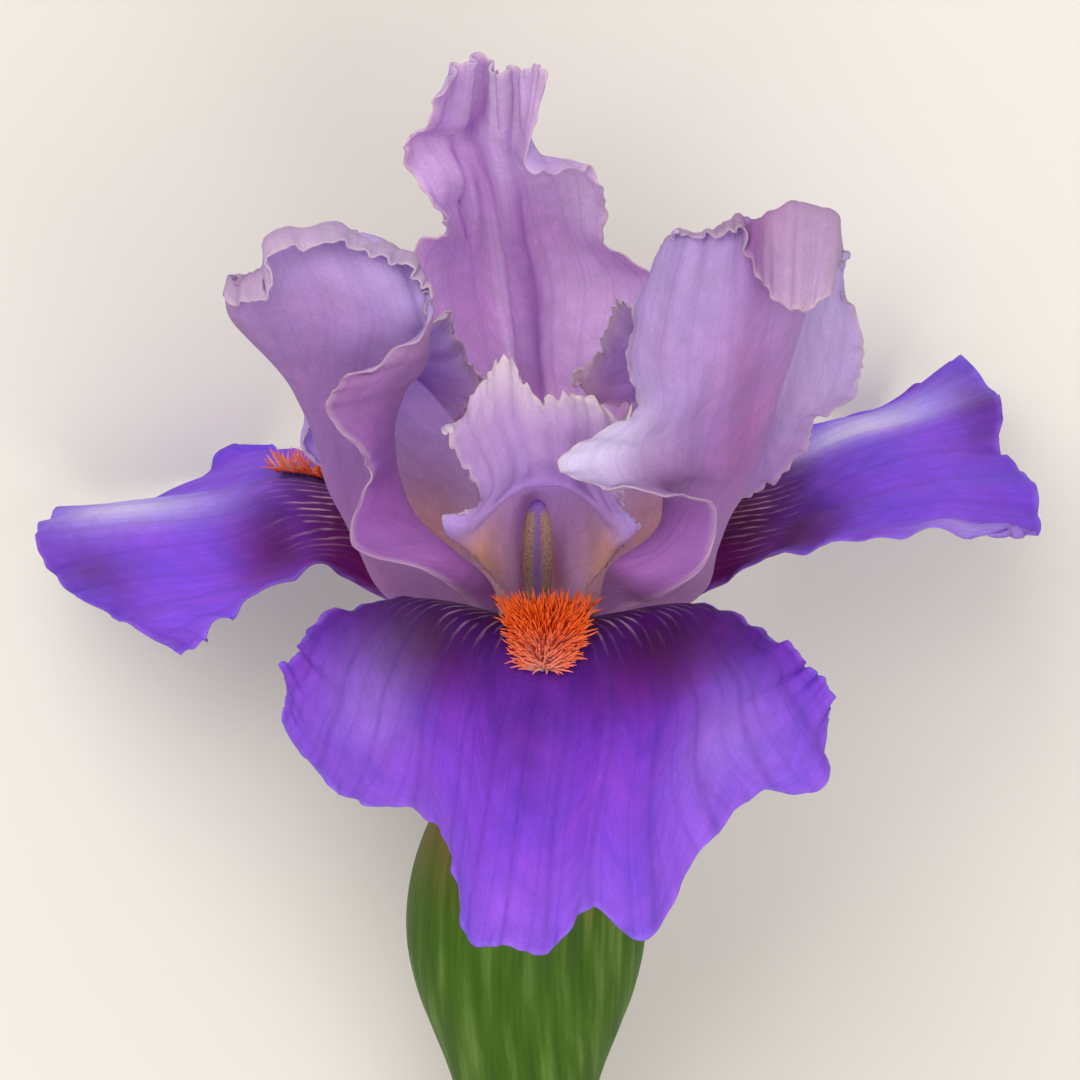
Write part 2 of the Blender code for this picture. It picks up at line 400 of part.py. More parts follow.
def sheet_faces(middle):
    """Triangles of a closed sheet: both faces are cut along the same diagonals, then the rim."""
    rows, columns = middle.shape[:2]
    back = rows * columns

    def at(i, j):
        return i * columns + j

    faces = []
    for i in range(rows - 1):
        for j in range(columns - 1):
            a, b, c, d = at(i, j), at(i + 1, j), at(i + 1, j + 1), at(i, j + 1)
            one = np.linalg.norm(middle[i, j] - middle[i + 1, j + 1])
            other = np.linalg.norm(middle[i + 1, j] - middle[i, j + 1])
            halves = ((a, b, c), (a, c, d)) if one <= other else ((a, b, d), (b, c, d))
            for x, y, z in halves:
                faces.append((x, y, z))
                faces.append((x + back, z + back, y + back))
    ring = [at(0, j) for j in range(columns)]
    ring += [at(i, columns - 1) for i in range(1, rows)]
    ring += [at(rows - 1, j) for j in range(columns - 2, -1, -1)]
    ring += [at(i, 0) for i in range(rows - 2, 0, -1)]
    for here, there in zip(ring, ring[1:] + ring[:1]):
        faces.append((here, there, there + back))
        faces.append((here, there + back, here + back))
    return faces


def sheet_points(middle, thickness, margin_thickness=None):
    """Both faces of a sheet. It lies flat where it would reach below the table."""
    rows, columns = middle.shape[:2]
    edge = thickness if margin_thickness is None else margin_thickness
    i = np.arange(rows)[:, None]
    j = np.arange(columns)[None, :]
    inwards = np.clip(np.minimum(np.minimum(j, columns - 1 - j), rows - 1 - i) / 2.0, 0, 1)
    half = 0.5 * (edge + (thickness - edge) * inwards)[..., None]
    normal = normals_of(middle)
    flat = middle[..., 2:3] < half + FLAT_MARGIN
    upright = np.array([0.0, 0.0, 1.0]) * np.where(normal[..., 2:3] < 0, -1.0, 1.0)
    normal = np.where(flat, upright, normal)
    middle = middle.copy()
    middle[..., 2:3] = np.where(flat, half, middle[..., 2:3])
    return np.concatenate([(middle + normal * half).reshape(-1, 3), (middle - normal * half).reshape(-1, 3)])


def pierced(first, second, corners):
    """Whether each segment runs through its triangle."""
    a, ab, ac = corners[:, 0], corners[:, 1] - corners[:, 0], corners[:, 2] - corners[:, 0]
    way = second - first
    across = np.cross(way, ac)
    size = np.einsum("ij,ij->i", ab, across)
    size = np.where(np.abs(size) < 1e-12, np.inf, size)
    from_a = first - a
    u = np.einsum("ij,ij->i", from_a, across) / size
    other = np.cross(from_a, ab)
    v = np.einsum("ij,ij->i", way, other) / size
    t = np.einsum("ij,ij->i", ac, other) / size
    return (u > 0) & (v > 0) & (u + v < 1) & (t > 0) & (t < 1) & np.isfinite(size)


def crossing_faces(points, faces):
    """The triangles of a closed sheet that run through one another."""
    tree = BVHTree.FromPolygons(points.tolist(), faces)
    pairs = np.array([pair for pair in tree.overlap(tree) if pair[0] != pair[1]], int).reshape(-1, 2)
    corners = np.array(faces)
    found = set()
    for side in range(3):
        ends = corners[pairs[:, 0]][:, [side, (side + 1) % 3]]
        apart = ~(ends[:, :, None] == corners[pairs[:, 1]][:, None, :]).any(axis=(1, 2))
        chosen = pairs[apart]
        ends = ends[apart]
        through = pierced(points[ends[:, 0]], points[ends[:, 1]], points[corners[chosen[:, 1]]])
        found.update(chosen[through].ravel().tolist())
    return found


def eased(middle, solid):
    """The sheet, smoothed a little at a time wherever the solid made of it would run through itself."""
    faces = sheet_faces(middle)
    for _ in range(60):
        found = crossing_faces(solid(middle), faces)
        if not found:
            break
        touched = np.zeros(middle.shape[0] * middle.shape[1])
        touched[np.array([faces[i] for i in found]).ravel() % len(touched)] = 0.5
        touched = np.pad(touched.reshape(middle.shape[:2]), 1)
        touched = np.maximum(touched[1:-1, 1:-1], 0.5 * np.maximum(
            np.maximum(touched[:-2, 1:-1], touched[2:, 1:-1]), np.maximum(touched[1:-1, :-2], touched[1:-1, 2:])))
        touched = touched[..., None]
        wide = np.pad(middle, ((1, 1), (1, 1), (0, 0)), mode="edge")
        mean = (wide[:-2, 1:-1] + wide[2:, 1:-1] + wide[1:-1, :-2] + wide[1:-1, 2:]) / 4
        middle = middle + touched * (mean - middle)
    return middle


def height_along_axis(points):
    """How far points on the table lie along the flower's axis from the junction."""
    tilt = math.radians(AXIS_TILT_DEG)
    return math.cos(tilt) * points[..., 1] + math.sin(tilt) * (points[..., 2] - JUNCTION_HEIGHT)


def seat(points, first, count):
    """Slides a claw's rim along the axis until it lies just above the tube."""
    tilt = math.radians(AXIS_TILT_DEG)
    axis = np.array([0.0, math.cos(tilt), math.sin(tilt)])
    rim = points[first:first + count]
    points[first:first + count] = rim + (SEAT_GAP - height_along_axis(rim))[:, None] * axis


def add_petal(name, finish):
    rows, columns = PETAL_GRID[name]

    def solid(middle):
        points = sheet_points(middle, PETAL_THICKNESS, MARGIN_THICKNESS)
        seat(points, 0, columns)
        seat(points, rows * columns, columns)
        return points

    middle = petal_sheet(name, np.linspace(0, 1, rows), np.linspace(0, 1, columns))
    faces = sheet_faces(middle)
    return add_object(name, solid(eased(middle, solid)), faces, finish)


def swept(path, ring, finish=None, name="piece", turn_to=None):
    """A closed tube of rings: ring gives one ring's points, across and up, for each place on the path."""
    path = np.asarray(path, float)
    tangent = np.gradient(path, axis=0)
    tangent /= np.linalg.norm(tangent, axis=1, keepdims=True)
    aside = np.cross(tangent, np.array(turn_to if turn_to is not None else (0.0, 0.0, 1.0)))
    aside /= np.linalg.norm(aside, axis=1, keepdims=True)
    front = np.cross(aside, tangent)
    rings = []
    for place_on, (point, right, forward) in enumerate(zip(path, aside, front)):
        flat = np.asarray(ring(place_on), float)
        rings.append(point + flat[:, :1] * right + flat[:, 1:] * forward)
    return add_object(name, *closed_rings(rings), finish)


def closed_rings(rings):
    """Points and faces of a solid that runs through equal rings and is capped at both ends."""
    sides = len(rings[0])
    points = np.concatenate([np.concatenate(rings), [np.mean(rings[0], axis=0), np.mean(rings[-1], axis=0)]])
    faces = []
    for k in range(len(rings) - 1):
        for s in range(sides):
            a, b = k * sides + s, k * sides + (s + 1) % sides
            faces.append((a, b, b + sides))
            faces.append((a, b + sides, a + sides))
    first, last, end = len(points) - 2, len(points) - 1, (len(rings) - 1) * sides
    for s in range(sides):
        faces.append((first, (s + 1) % sides, s))
        faces.append((last, end + s, end + (s + 1) % sides))
    return points, faces


def union(target, others):
    """Joins closed solids into target, and removes them."""
    group = bpy.data.collections.new("joined_to_" + target.name)
    bpy.context.scene.collection.children.link(group)
    for other in others:
        group.objects.link(other)
    joint = target.modifiers.new("union", "BOOLEAN")
    joint.operation = "UNION"
    joint.operand_type = "COLLECTION"
    joint.collection = group
    joint.solver = "MANIFOLD"
    bpy.context.view_layer.update()
    graph = bpy.context.evaluated_depsgraph_get()
    joined = bpy.data.meshes.new_from_object(target.evaluated_get(graph))
    target.modifiers.clear()
    target.data = joined
    joined.name = target.name
    for other in others:
        bpy.data.objects.remove(other, do_unlink=True)
    bpy.data.collections.remove(group)
    return target


def lean(up):
    """How far the stem stands aside at this height along the axis."""
    share = np.clip(-np.asarray(up, float) / 30.0, 0, 1)
    return -STEM_LEAN * share * share * (3 - 2 * share)


def add_stem(finish):
    sides = 16
    turn = 2 * np.pi * (np.arange(sides) + 0.5) / sides
    rings = []
    for up, radius in STEM_PROFILE:
        ring = np.stack([-radius * np.sin(turn), radius * np.cos(turn) + 0 * turn, np.full(sides, up)], axis=-1)
        ring = to_table(ring, -90.0 + 180.0)
        ring[:, 0] += lean(up)
        ring[:, 2] = np.maximum(ring[:, 2], 0.0)
        rings.append(ring)
    return add_object("stem", *closed_rings(rings), finish)


def bract_sheet(which, along, across):
    """The middle of one bract, wrapped round the ovary and pointed at its tip."""
    azimuth, half_arc, offset, tuck = BRACTS[which]
    profile = np.array(BRACT_PROFILE)
    line = read_net(np.repeat(profile[:, None, :], 2, axis=1), along, np.array([0.0]))[:, 0]
    taper = np.clip((1.0 - along) / 0.3, 0.0, 1.0) ** 0.6
    arc = np.radians(half_arc) * (0.16 + 0.84 * taper)
    turn = (2 * across[None, :] - 1) * arc[:, None]
    rise = np.clip(along / 0.12, 0.1, 1)[:, None]
    radius = line[:, 1:2] * (1 - tuck * np.abs(2 * across[None, :] - 1) ** 2) + offset * rise
    depth = 1 - (1 - BRACT_DEPTH) * np.clip(along / 0.2, 0, 1)[:, None]
    centre = math.radians(azimuth)
    right = radius * np.cos(centre + turn)
    back = radius * np.sin(centre + turn) * depth
    up = line[:, :1] - 4 * offset * (1 - rise) + 0 * turn
    grid = to_table(np.stack([right, back, up], axis=-1), 0.0)
    grid[..., 0] += lean(up)
    return grid


def add_bract(which, finish):
    rows, columns = BRACT_GRID
    middle = bract_sheet(which, np.linspace(0, 1, rows), np.linspace(0, 1, columns))
    points = sheet_points(middle, PETAL_THICKNESS, MARGIN_THICKNESS)
    return add_object("bract_" + which, points, sheet_faces(middle), finish)


def add_stamen(which, finish):
    turn = 2 * math.pi * (np.arange(10) + 0.5) / 10
    path = to_table(np.array([(out, -0.9 if which == "front" else 0.0, up) for out, up in STAMEN_PATH]), STAMENS[which])

    def ring(k):
        width = STAMEN_HALF_WIDTHS[k]
        groove = 1 - 0.22 * (width > 1.0) * np.cos(turn) ** 8
        depth = min(width, 0.55 + 0.25 * width)
        return np.stack([width * np.sin(turn), depth * np.cos(turn) * groove], axis=-1)

    outwards = to_table(np.array([(1.0, 0.0, 0.0)]), STAMENS[which])[0] - to_table(np.zeros((1, 3)), 0.0)[0]
    made = swept(path, ring, finish, "stamen_" + which, outwards)
    return made


def beard_frame(which, share, sway):
    """Places on the inner face of a fall, with the ways out, along and across there. Share runs from the beard's start
    to its end, and sway from -1 to 1 across it."""
    petal, centre, start, end, first_width, last_width = BEARDS[which][:6]
    net = full_net(PETALS[petal])
    along = start + (end - start) * share
    rows = spline_weights(net.shape[0], along)
    sides = np.einsum("ai,ijk,bj->abk", rows, net, spline_weights(net.shape[1], np.array([centre - 0.05, centre + 0.05])))
    width = 10 * np.linalg.norm(sides[:, 1] - sides[:, 0], axis=1)
    across = centre + sway * (first_width + (last_width - first_width) * share) / width
    columns = spline_weights(net.shape[1], across)
    step = 0.01

    def read(some_rows, some_columns):
        return np.einsum("ai,ijk,aj->ak", some_rows, net, some_columns)

    point = read(rows, columns)
    ahead = read(spline_weights(net.shape[0], along + step), columns) - point
    aside = read(rows, spline_weights(net.shape[1], across + step)) - point
    out = np.cross(ahead, aside)
    out /= np.linalg.norm(out, axis=1, keepdims=True)
    ahead /= np.linalg.norm(ahead, axis=1, keepdims=True)
    return point, out, ahead, np.cross(out, ahead)


def add_beard(which, finish):
    """A strip along the middle of a fall, set thick with hairs."""
    rows, columns = BEARD_GRID
    hairs, length = BEARDS[which][6:]
    lift = PETAL_THICKNESS / 2 + SEAT_GAP + BEARD_STRIP / 2
    share = np.linspace(0, 1, rows)
    grid = []
    for sway in np.linspace(-1, 1, columns):
        point, out, _, _ = beard_frame(which, share, np.full(rows, sway))
        grid.append(point + out * lift)
    middle = np.stack(grid, axis=1)
    strip = add_object("beard_" + which, sheet_points(middle, BEARD_STRIP), sheet_faces(middle), finish)
    draw = np.random.default_rng(len(which) + hairs)
    # Neighbouring hairs are spread evenly by the golden ratio.
    sway = 2 * ((np.arange(hairs) * 0.618034) % 1.0) - 1
    point, out, ahead, aside = beard_frame(which, np.linspace(0.04, 0.96, hairs), 0.8 * sway)
    tall = length * draw.uniform(0.8, 1.1, hairs)
    spread = sway * 1.25 + draw.uniform(-0.15, 0.15, hairs)
    tilt = draw.uniform(-0.3, 0.4, hairs)
    way = out + aside * spread[:, None] + ahead * tilt[:, None]
    way /= np.linalg.norm(way, axis=1, keepdims=True)
    needles = []
    for k in range(hairs):
        foot = point[k] + out[k] * lift
        flat = np.cross(way[k], (0.3, 0.5, 0.8))
        flat /= np.linalg.norm(flat)
        other = np.cross(way[k], flat)
        corners = [foot + HAIR_RADIUS * (math.cos(a) * flat + math.sin(a) * other) for a in (0.0, 2.094, 4.189)]
        points = np.array(corners + [foot + way[k] * tall[k]])
        needles.append(add_object("hair", points, [(0, 1, 2), (0, 1, 3), (1, 2, 3), (2, 0, 3)]))
    return union(strip, needles)


def add_style(finish):
    """The column and its three arms, grown as one."""
    turn = 2 * math.pi * np.arange(12) / 12
    rings = []
    for up, radius in ((SEAT_GAP, STYLE_COLUMN_RADIUS), (2.5, 3.0), (5.0, 2.6)):
        ring = np.stack([radius * np.cos(turn), radius * np.sin(turn), np.full(12, up)], axis=-1)
        rings.append(to_table(ring, 0.0))
    column = add_object("style", *closed_rings(rings), finish)

    def solid(middle):
        return sheet_points(middle, PETAL_THICKNESS, MARGIN_THICKNESS)

    arms = []
    rows, columns = STYLE_GRID
    for arm in STYLE_ARMS:
        middle = style_sheet(arm, np.linspace(0, 1, rows), np.linspace(0, 1, columns))
        faces = sheet_faces(middle)
        arms.append(add_object("arm", solid(eased(middle, solid)), faces))
    return union(column, arms)



def main():
    clear_scene()
    add_stem(material("stem_green", (0.13, 0.2, 0.03)))
    for which in BRACTS:
        add_bract(which, material("bract_" + which + "_green", (0.1, 0.17, 0.03)))
    for name in PETALS:
        if name.startswith("fall"):
            add_petal(name, material(name + "_violet", (0.2, 0.05, 0.7), 0.45))
        else:
            add_petal(name, material(name + "_lilac", (0.5, 0.3, 0.7), 0.5))
    add_style(material("style_cream_lilac", (0.6, 0.42, 0.66)))
    for which in STAMENS:
        add_stamen(which, material("stamen_" + which + "_tan", (0.36, 0.22, 0.15), 0.8))
    for which in BEARDS:
        add_beard(which, material("beard_" + which + "_orange", (0.8, 0.08, 0.005), 0.6))


main()
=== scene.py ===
"""The looks of a bearded iris flower that lies on a table, cut with a short stem.

Every petal is read again from the same small nets as the flower's solids, but on a fine grid, with frilled
margins and thinner tissue. Nets are in millimetres, from the spot on the table under the petals' junction:
x to the right, y towards the tips of the standards and z up. Along runs from claw to outer edge and across
from side to side, both from 0 to 1.
"""

import math

import bpy
import numpy as np
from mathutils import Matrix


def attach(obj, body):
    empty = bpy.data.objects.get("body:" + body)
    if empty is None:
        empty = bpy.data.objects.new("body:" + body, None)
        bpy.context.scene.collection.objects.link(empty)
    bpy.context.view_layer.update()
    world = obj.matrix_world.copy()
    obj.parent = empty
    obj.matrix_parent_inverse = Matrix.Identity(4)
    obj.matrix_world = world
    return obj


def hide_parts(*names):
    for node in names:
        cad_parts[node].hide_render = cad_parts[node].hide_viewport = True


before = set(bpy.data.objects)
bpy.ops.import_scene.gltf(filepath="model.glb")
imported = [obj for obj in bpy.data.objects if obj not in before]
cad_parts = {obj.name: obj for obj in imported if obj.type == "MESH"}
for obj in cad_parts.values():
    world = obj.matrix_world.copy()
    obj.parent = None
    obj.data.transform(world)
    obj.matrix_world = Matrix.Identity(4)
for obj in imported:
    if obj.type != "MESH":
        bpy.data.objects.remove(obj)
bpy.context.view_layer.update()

# The flower's own sizes, in millimetres unless a name says otherwise.
UNIT = 0.001  # one millimetre in metres
JUNCTION_HEIGHT = 46.0
TILT = math.radians(22.0)  # of the flower's axis above the table
PLACE = (-1.44, -18.82, 0.0)  # the middle of the flower's box, from the spot under the junction
SEAT_GAP = 0.3
TUBE_RIM_RADIUS = 9.0
STEM_RADIUS = 4.3
STEM_LENGTH = 112.6
TISSUE = 0.55  # thickness of a petal
TISSUE_MARGIN = 0.22  # and at its margin
MARGIN_WIDTH = 2.5  # over which it thins
BRACT_TISSUE = 0.75
BRACT_MARGIN = 0.35
FLAT_MARGIN = 0.25  # tissue that comes this close to the table lies flat on it

# The nets: rows from claw to outer edge, and each row from side to side.

FRONT_FALL = [
    [(-2.8, -1.6, 53.5), (2.8, -1.6, 53.5), (0, 0, 0.6)],
    [(-4, 0.6, 63), (4, 0.6, 63), (0, 0.4, -0.6)],
    [(-7.6, 3, 70.6), (7.6, 2.6, 70.6), (0, -0.8, 2.8)],
    [(-20, 4.9, 72), (-17.5, 4.4, 74), (-14.6, 4, 76), (-12, 3, 77.6), (-9, 1.6, 79), (-6, 0.2, 80.4),
     (-3, -0.8, 81.6), (0, -1.2, 82), (3, -1, 81.8), (6, 0, 80.8), (9, 1.2, 79.6), (12, 2.2, 78.2),
     (15, 3, 76.8), (18, 3.4, 75), (21, 3.4, 73)],
    [(-28, 0.8, 70.5), (-24, -1.8, 74), (-20, -4.2, 77.4), (-16.4, -6.2, 80.2), (-12.8, -7.4, 82.6),
     (-9.2, -8.8, 84.8), (-5.2, -10, 86.4), (-1.2, -10.6, 87.2), (3.2, -10.4, 87), (7.4, -9.6, 86),
     (11.4, -8.4, 84.4), (15.6, -6.8, 82.2), (19.8, -4.8, 79.4), (24.2, -2.8, 76.2), (28.4, -0.8, 72.6)],
    [(-29.6, -3, 69.5), (-27, -8, 74), (-22.5, -11.6, 78.2), (-18.2, -13.4, 80.6), (-13.6, -14.4, 83.4),
     (-10, -17.4, 85.8), (-6.6, -21.6, 87.6), (-3, -23.6, 88.2), (1.4, -23.8, 88.2), (5.6, -21.6, 87.4),
     (10.2, -20.2, 86.2), (15.2, -16.4, 83.6), (20.6, -12.4, 80.2), (27, -9, 76.4), (31.8, -4.2, 72.6)],
    [(-29.9, -5.6, 70.5), (-29.4, -11.7, 73), (-25, -16.9, 75.5), (-20.7, -19.1, 77.8), (-13.9, -20, 81),
     (-10.8, -25.4, 83.4), (-8.8, -33.8, 85), (-4.6, -34.5, 85.8), (0.3, -35.5, 84.6), (5.2, -30.4, 86.4),
     (11.5, -34.1, 83), (17.8, -24.4, 82), (24.7, -17.7, 78.6), (31.5, -17, 74.4), (33.1, -8.6, 71.6)],
]

LEFT_FALL = [
    [(-5, 3.6, 40.6), (-7.6, 1, 45.2), (0, 0.3, 0)],
    [(-8.6, 8.2, 37), (-12.4, 2, 45.4), (0, 2.8, 1.4)],
    [(-14, 12.5, 29), (-19.4, 4.6, 45), (0, 5.5, 4)],
    [(-20.5, 17, 20), (-24, 18.6, 22), (-27, 19.6, 25.5), (-29, 19.6, 29.5), (-29.8, 18.6, 33.5),
     (-29.6, 16.8, 37), (-29, 14.8, 40), (-28.2, 12.6, 42.6), (-27.4, 10.6, 45), (-26.6, 9, 46.6),
     (-26.2, 7.8, 47.8)],
    [(-26.5, 21, 12), (-31.5, 20.8, 13), (-35.5, 20.2, 17), (-38.5, 18.6, 23), (-39.5, 17, 29),
     (-39.2, 14.5, 34), (-38.3, 11.8, 38.5), (-37, 9, 42), (-35.6, 7, 45.5), (-34.5, 5.4, 48),
     (-33.7, 4.2, 50.2)],
    [(-31.5, 22.5, 5), (-37, 22, 3.6), (-42.5, 19, 6.6), (-48, 16.8, 12.5), (-51.5, 15.8, 20),
     (-52, 13.6, 26), (-51, 10.5, 31.5), (-49, 7.6, 36.5), (-46.5, 4.6, 42), (-42.8, 1.8, 47),
     (-38.6, 0.4, 51)],
    [(-35, 22.8, 0.9), (-40, 22.4, 0.4), (-45, 17.5, 1.5), (-52, 14.2, 5.5), (-59.5, 14.8, 11),
     (-61.9, 13, 15.5), (-60.8, 9, 21.5), (-57.6, 5.6, 28), (-53.5, 3.2, 35), (-48, 0.6, 43),
     (-42, -2.7, 51.5)],
]

RIGHT_FALL = [
    [(7.6, 1, 45.2), (5, 3.6, 40.6), (0, 0.3, 0)],
    [(12, 2.2, 45.6), (8.6, 8.2, 37), (0, 2.8, 1.4)],
    [(18, 4.6, 45.5), (14, 12.5, 29), (0, 5.5, 4)],
    [(25, 8, 48.5), (26.5, 9.8, 46.5), (27.6, 11.8, 44), (28.4, 13.8, 41), (29, 15.8, 37.8),
     (29.2, 17.8, 34.2), (28.9, 19.8, 30.4), (28, 21.2, 26.5), (26.4, 21.4, 23.2), (24.3, 20.6, 20.6),
     (22, 19.2, 18.8)],
    [(34.5, 10, 51.5), (36.5, 12.2, 48), (37.5, 14.6, 44), (38, 17, 39.5), (38, 19.4, 34.5),
     (37.8, 21.6, 29.5), (37.2, 23.6, 24.5), (36, 25, 19.5), (34, 25.3, 15), (31.5, 24.6, 11.5),
     (29, 23.4, 9)],
    [(44.4, 11.4, 51), (46.5, 13.5, 46), (47.5, 16.5, 41), (47.5, 19.3, 35.5), (46.8, 21.6, 30),
     (46.5, 24, 24.5), (46, 26, 19.5), (44.8, 27.8, 14), (42.5, 28, 9), (39.5, 26.8, 5), (36, 25, 3)],
    [(54.5, 12.2, 44.5), (58.7, 12.2, 41), (58.9, 16.2, 36), (57.4, 20.5, 30.5), (54.8, 22.2, 27),
     (55.5, 26.5, 21), (55.2, 29.5, 17), (53.2, 31.8, 13), (50.6, 34.2, 9), (47, 30.2, 5), (41, 26.3, 0.5)],
]

LEFT_STANDARD = [
    [(-7.2, 1, 47.4), (-4.9, -1.2, 52.2), (-0.6, -0.5, 0.5)],
    [(-12.5, 4.5, 47), (-13.6, 4, 48.5), (-14.2, 3.2, 50.5), (-14, 2.4, 53), (-12.8, 1.8, 56),
     (-10, 3.6, 60.5), (-6.6, 5.8, 65), (-6.4, 5.2, 67.2), (-8.2, 3.8, 67.8)],
    [(-15.5, 8.8, 50), (-17.6, 8, 51.5), (-19, 7, 54), (-19, 5.8, 57.5), (-18, 5.6, 61.5), (-14.6, 8, 68.5),
     (-10.6, 10, 74.4), (-11.4, 9.2, 77), (-13.8, 8, 77.6)],
    [(-16.8, 13.6, 52.5), (-19.4, 12.8, 54), (-21.2, 11.5, 56.5), (-21.3, 10.2, 60), (-20.4, 10.6, 64),
     (-17.8, 12.2, 69.5), (-14.7, 13.8, 74.4), (-16.8, 11.6, 77.8), (-20.6, 9.8, 77.6)],
    [(-17.6, 18, 53.5), (-20.8, 17.4, 55), (-22.8, 16, 58), (-23, 14.6, 61.5), (-22.2, 15, 65.5),
     (-19.4, 16.2, 69), (-16.5, 17.3, 73), (-19.6, 14.8, 77.2), (-22.4, 12.4, 77.8)],
    [(-20.2, 22.4, 54.5), (-23.2, 21.6, 56), (-24.4, 20, 59), (-24.6, 18.6, 62.5), (-23.6, 19.4, 66.5),
     (-20.4, 20.2, 69.5), (-17.4, 21.3, 71.5), (-18.6, 19.8, 76.3), (-20.3, 18.2, 78.5)],
    [(-22.8, 27.2, 55.4), (-25.4, 26.4, 57.4), (-25.8, 25, 60.8), (-26, 23.8, 64.5), (-24.6, 23.6, 68),
     (-21, 24.2, 70.5), (-17.4, 24.9, 72.4), (-18.8, 22.8, 77.6), (-20.8, 21.3, 79.8)],
    [(-25.4, 32.2, 57.6), (-28, 31.4, 59.6), (-28.2, 30, 63.5), (-28.2, 28.8, 67.5), (-25.4, 28.4, 71.5),
     (-20.4, 28.6, 73), (-16, 29, 74), (-19.6, 26.8, 79.5), (-24.9, 25.5, 81)],
    [(-27.2, 36, 60.4), (-30.4, 35, 62.8), (-30.8, 33.2, 67), (-30.2, 31.9, 71), (-25.8, 32.4, 75),
     (-19.8, 32.2, 75.5), (-14.1, 31.4, 75.2), (-18.4, 29.8, 80.6), (-24.3, 28.8, 82.3)],
    [(-29.4, 39.2, 63.6), (-32.6, 38, 66.4), (-33.4, 36.2, 70.5), (-32.5, 34.9, 75.5), (-26, 37, 78.5),
     (-19, 36.2, 78), (-13.4, 33.8, 76.4), (-15.8, 32.2, 80.4), (-20.6, 30.8, 82.2)],
    [(-30, 41.6, 67.5), (-33.8, 40.2, 70), (-35.6, 38.8, 74), (-34.2, 37.4, 79), (-27.6, 41.2, 81),
     (-20.6, 40.6, 80.5), (-14.6, 38.6, 78.2), (-13, 36.6, 79.4), (-14.4, 34.4, 81.6)],
    [(-30.8, 42.2, 70.5), (-33.8, 41.8, 74), (-35.8, 41.4, 79), (-32.6, 41.8, 82.4), (-30.2, 45.8, 81.8),
     (-23.8, 47, 80), (-17.4, 45, 77.6), (-14.2, 42.6, 77.2), (-13.2, 39.2, 78.6)],
    [(-31.4, 41.8, 72), (-34.8, 41.2, 76.5), (-36.2, 38.8, 81.6), (-32, 38.6, 85.4), (-29.8, 43.8, 85),
     (-23.6, 44.9, 83.8), (-18.4, 43.4, 81.4), (-15, 41.6, 80.4), (-13.4, 38.6, 80.8)],
]

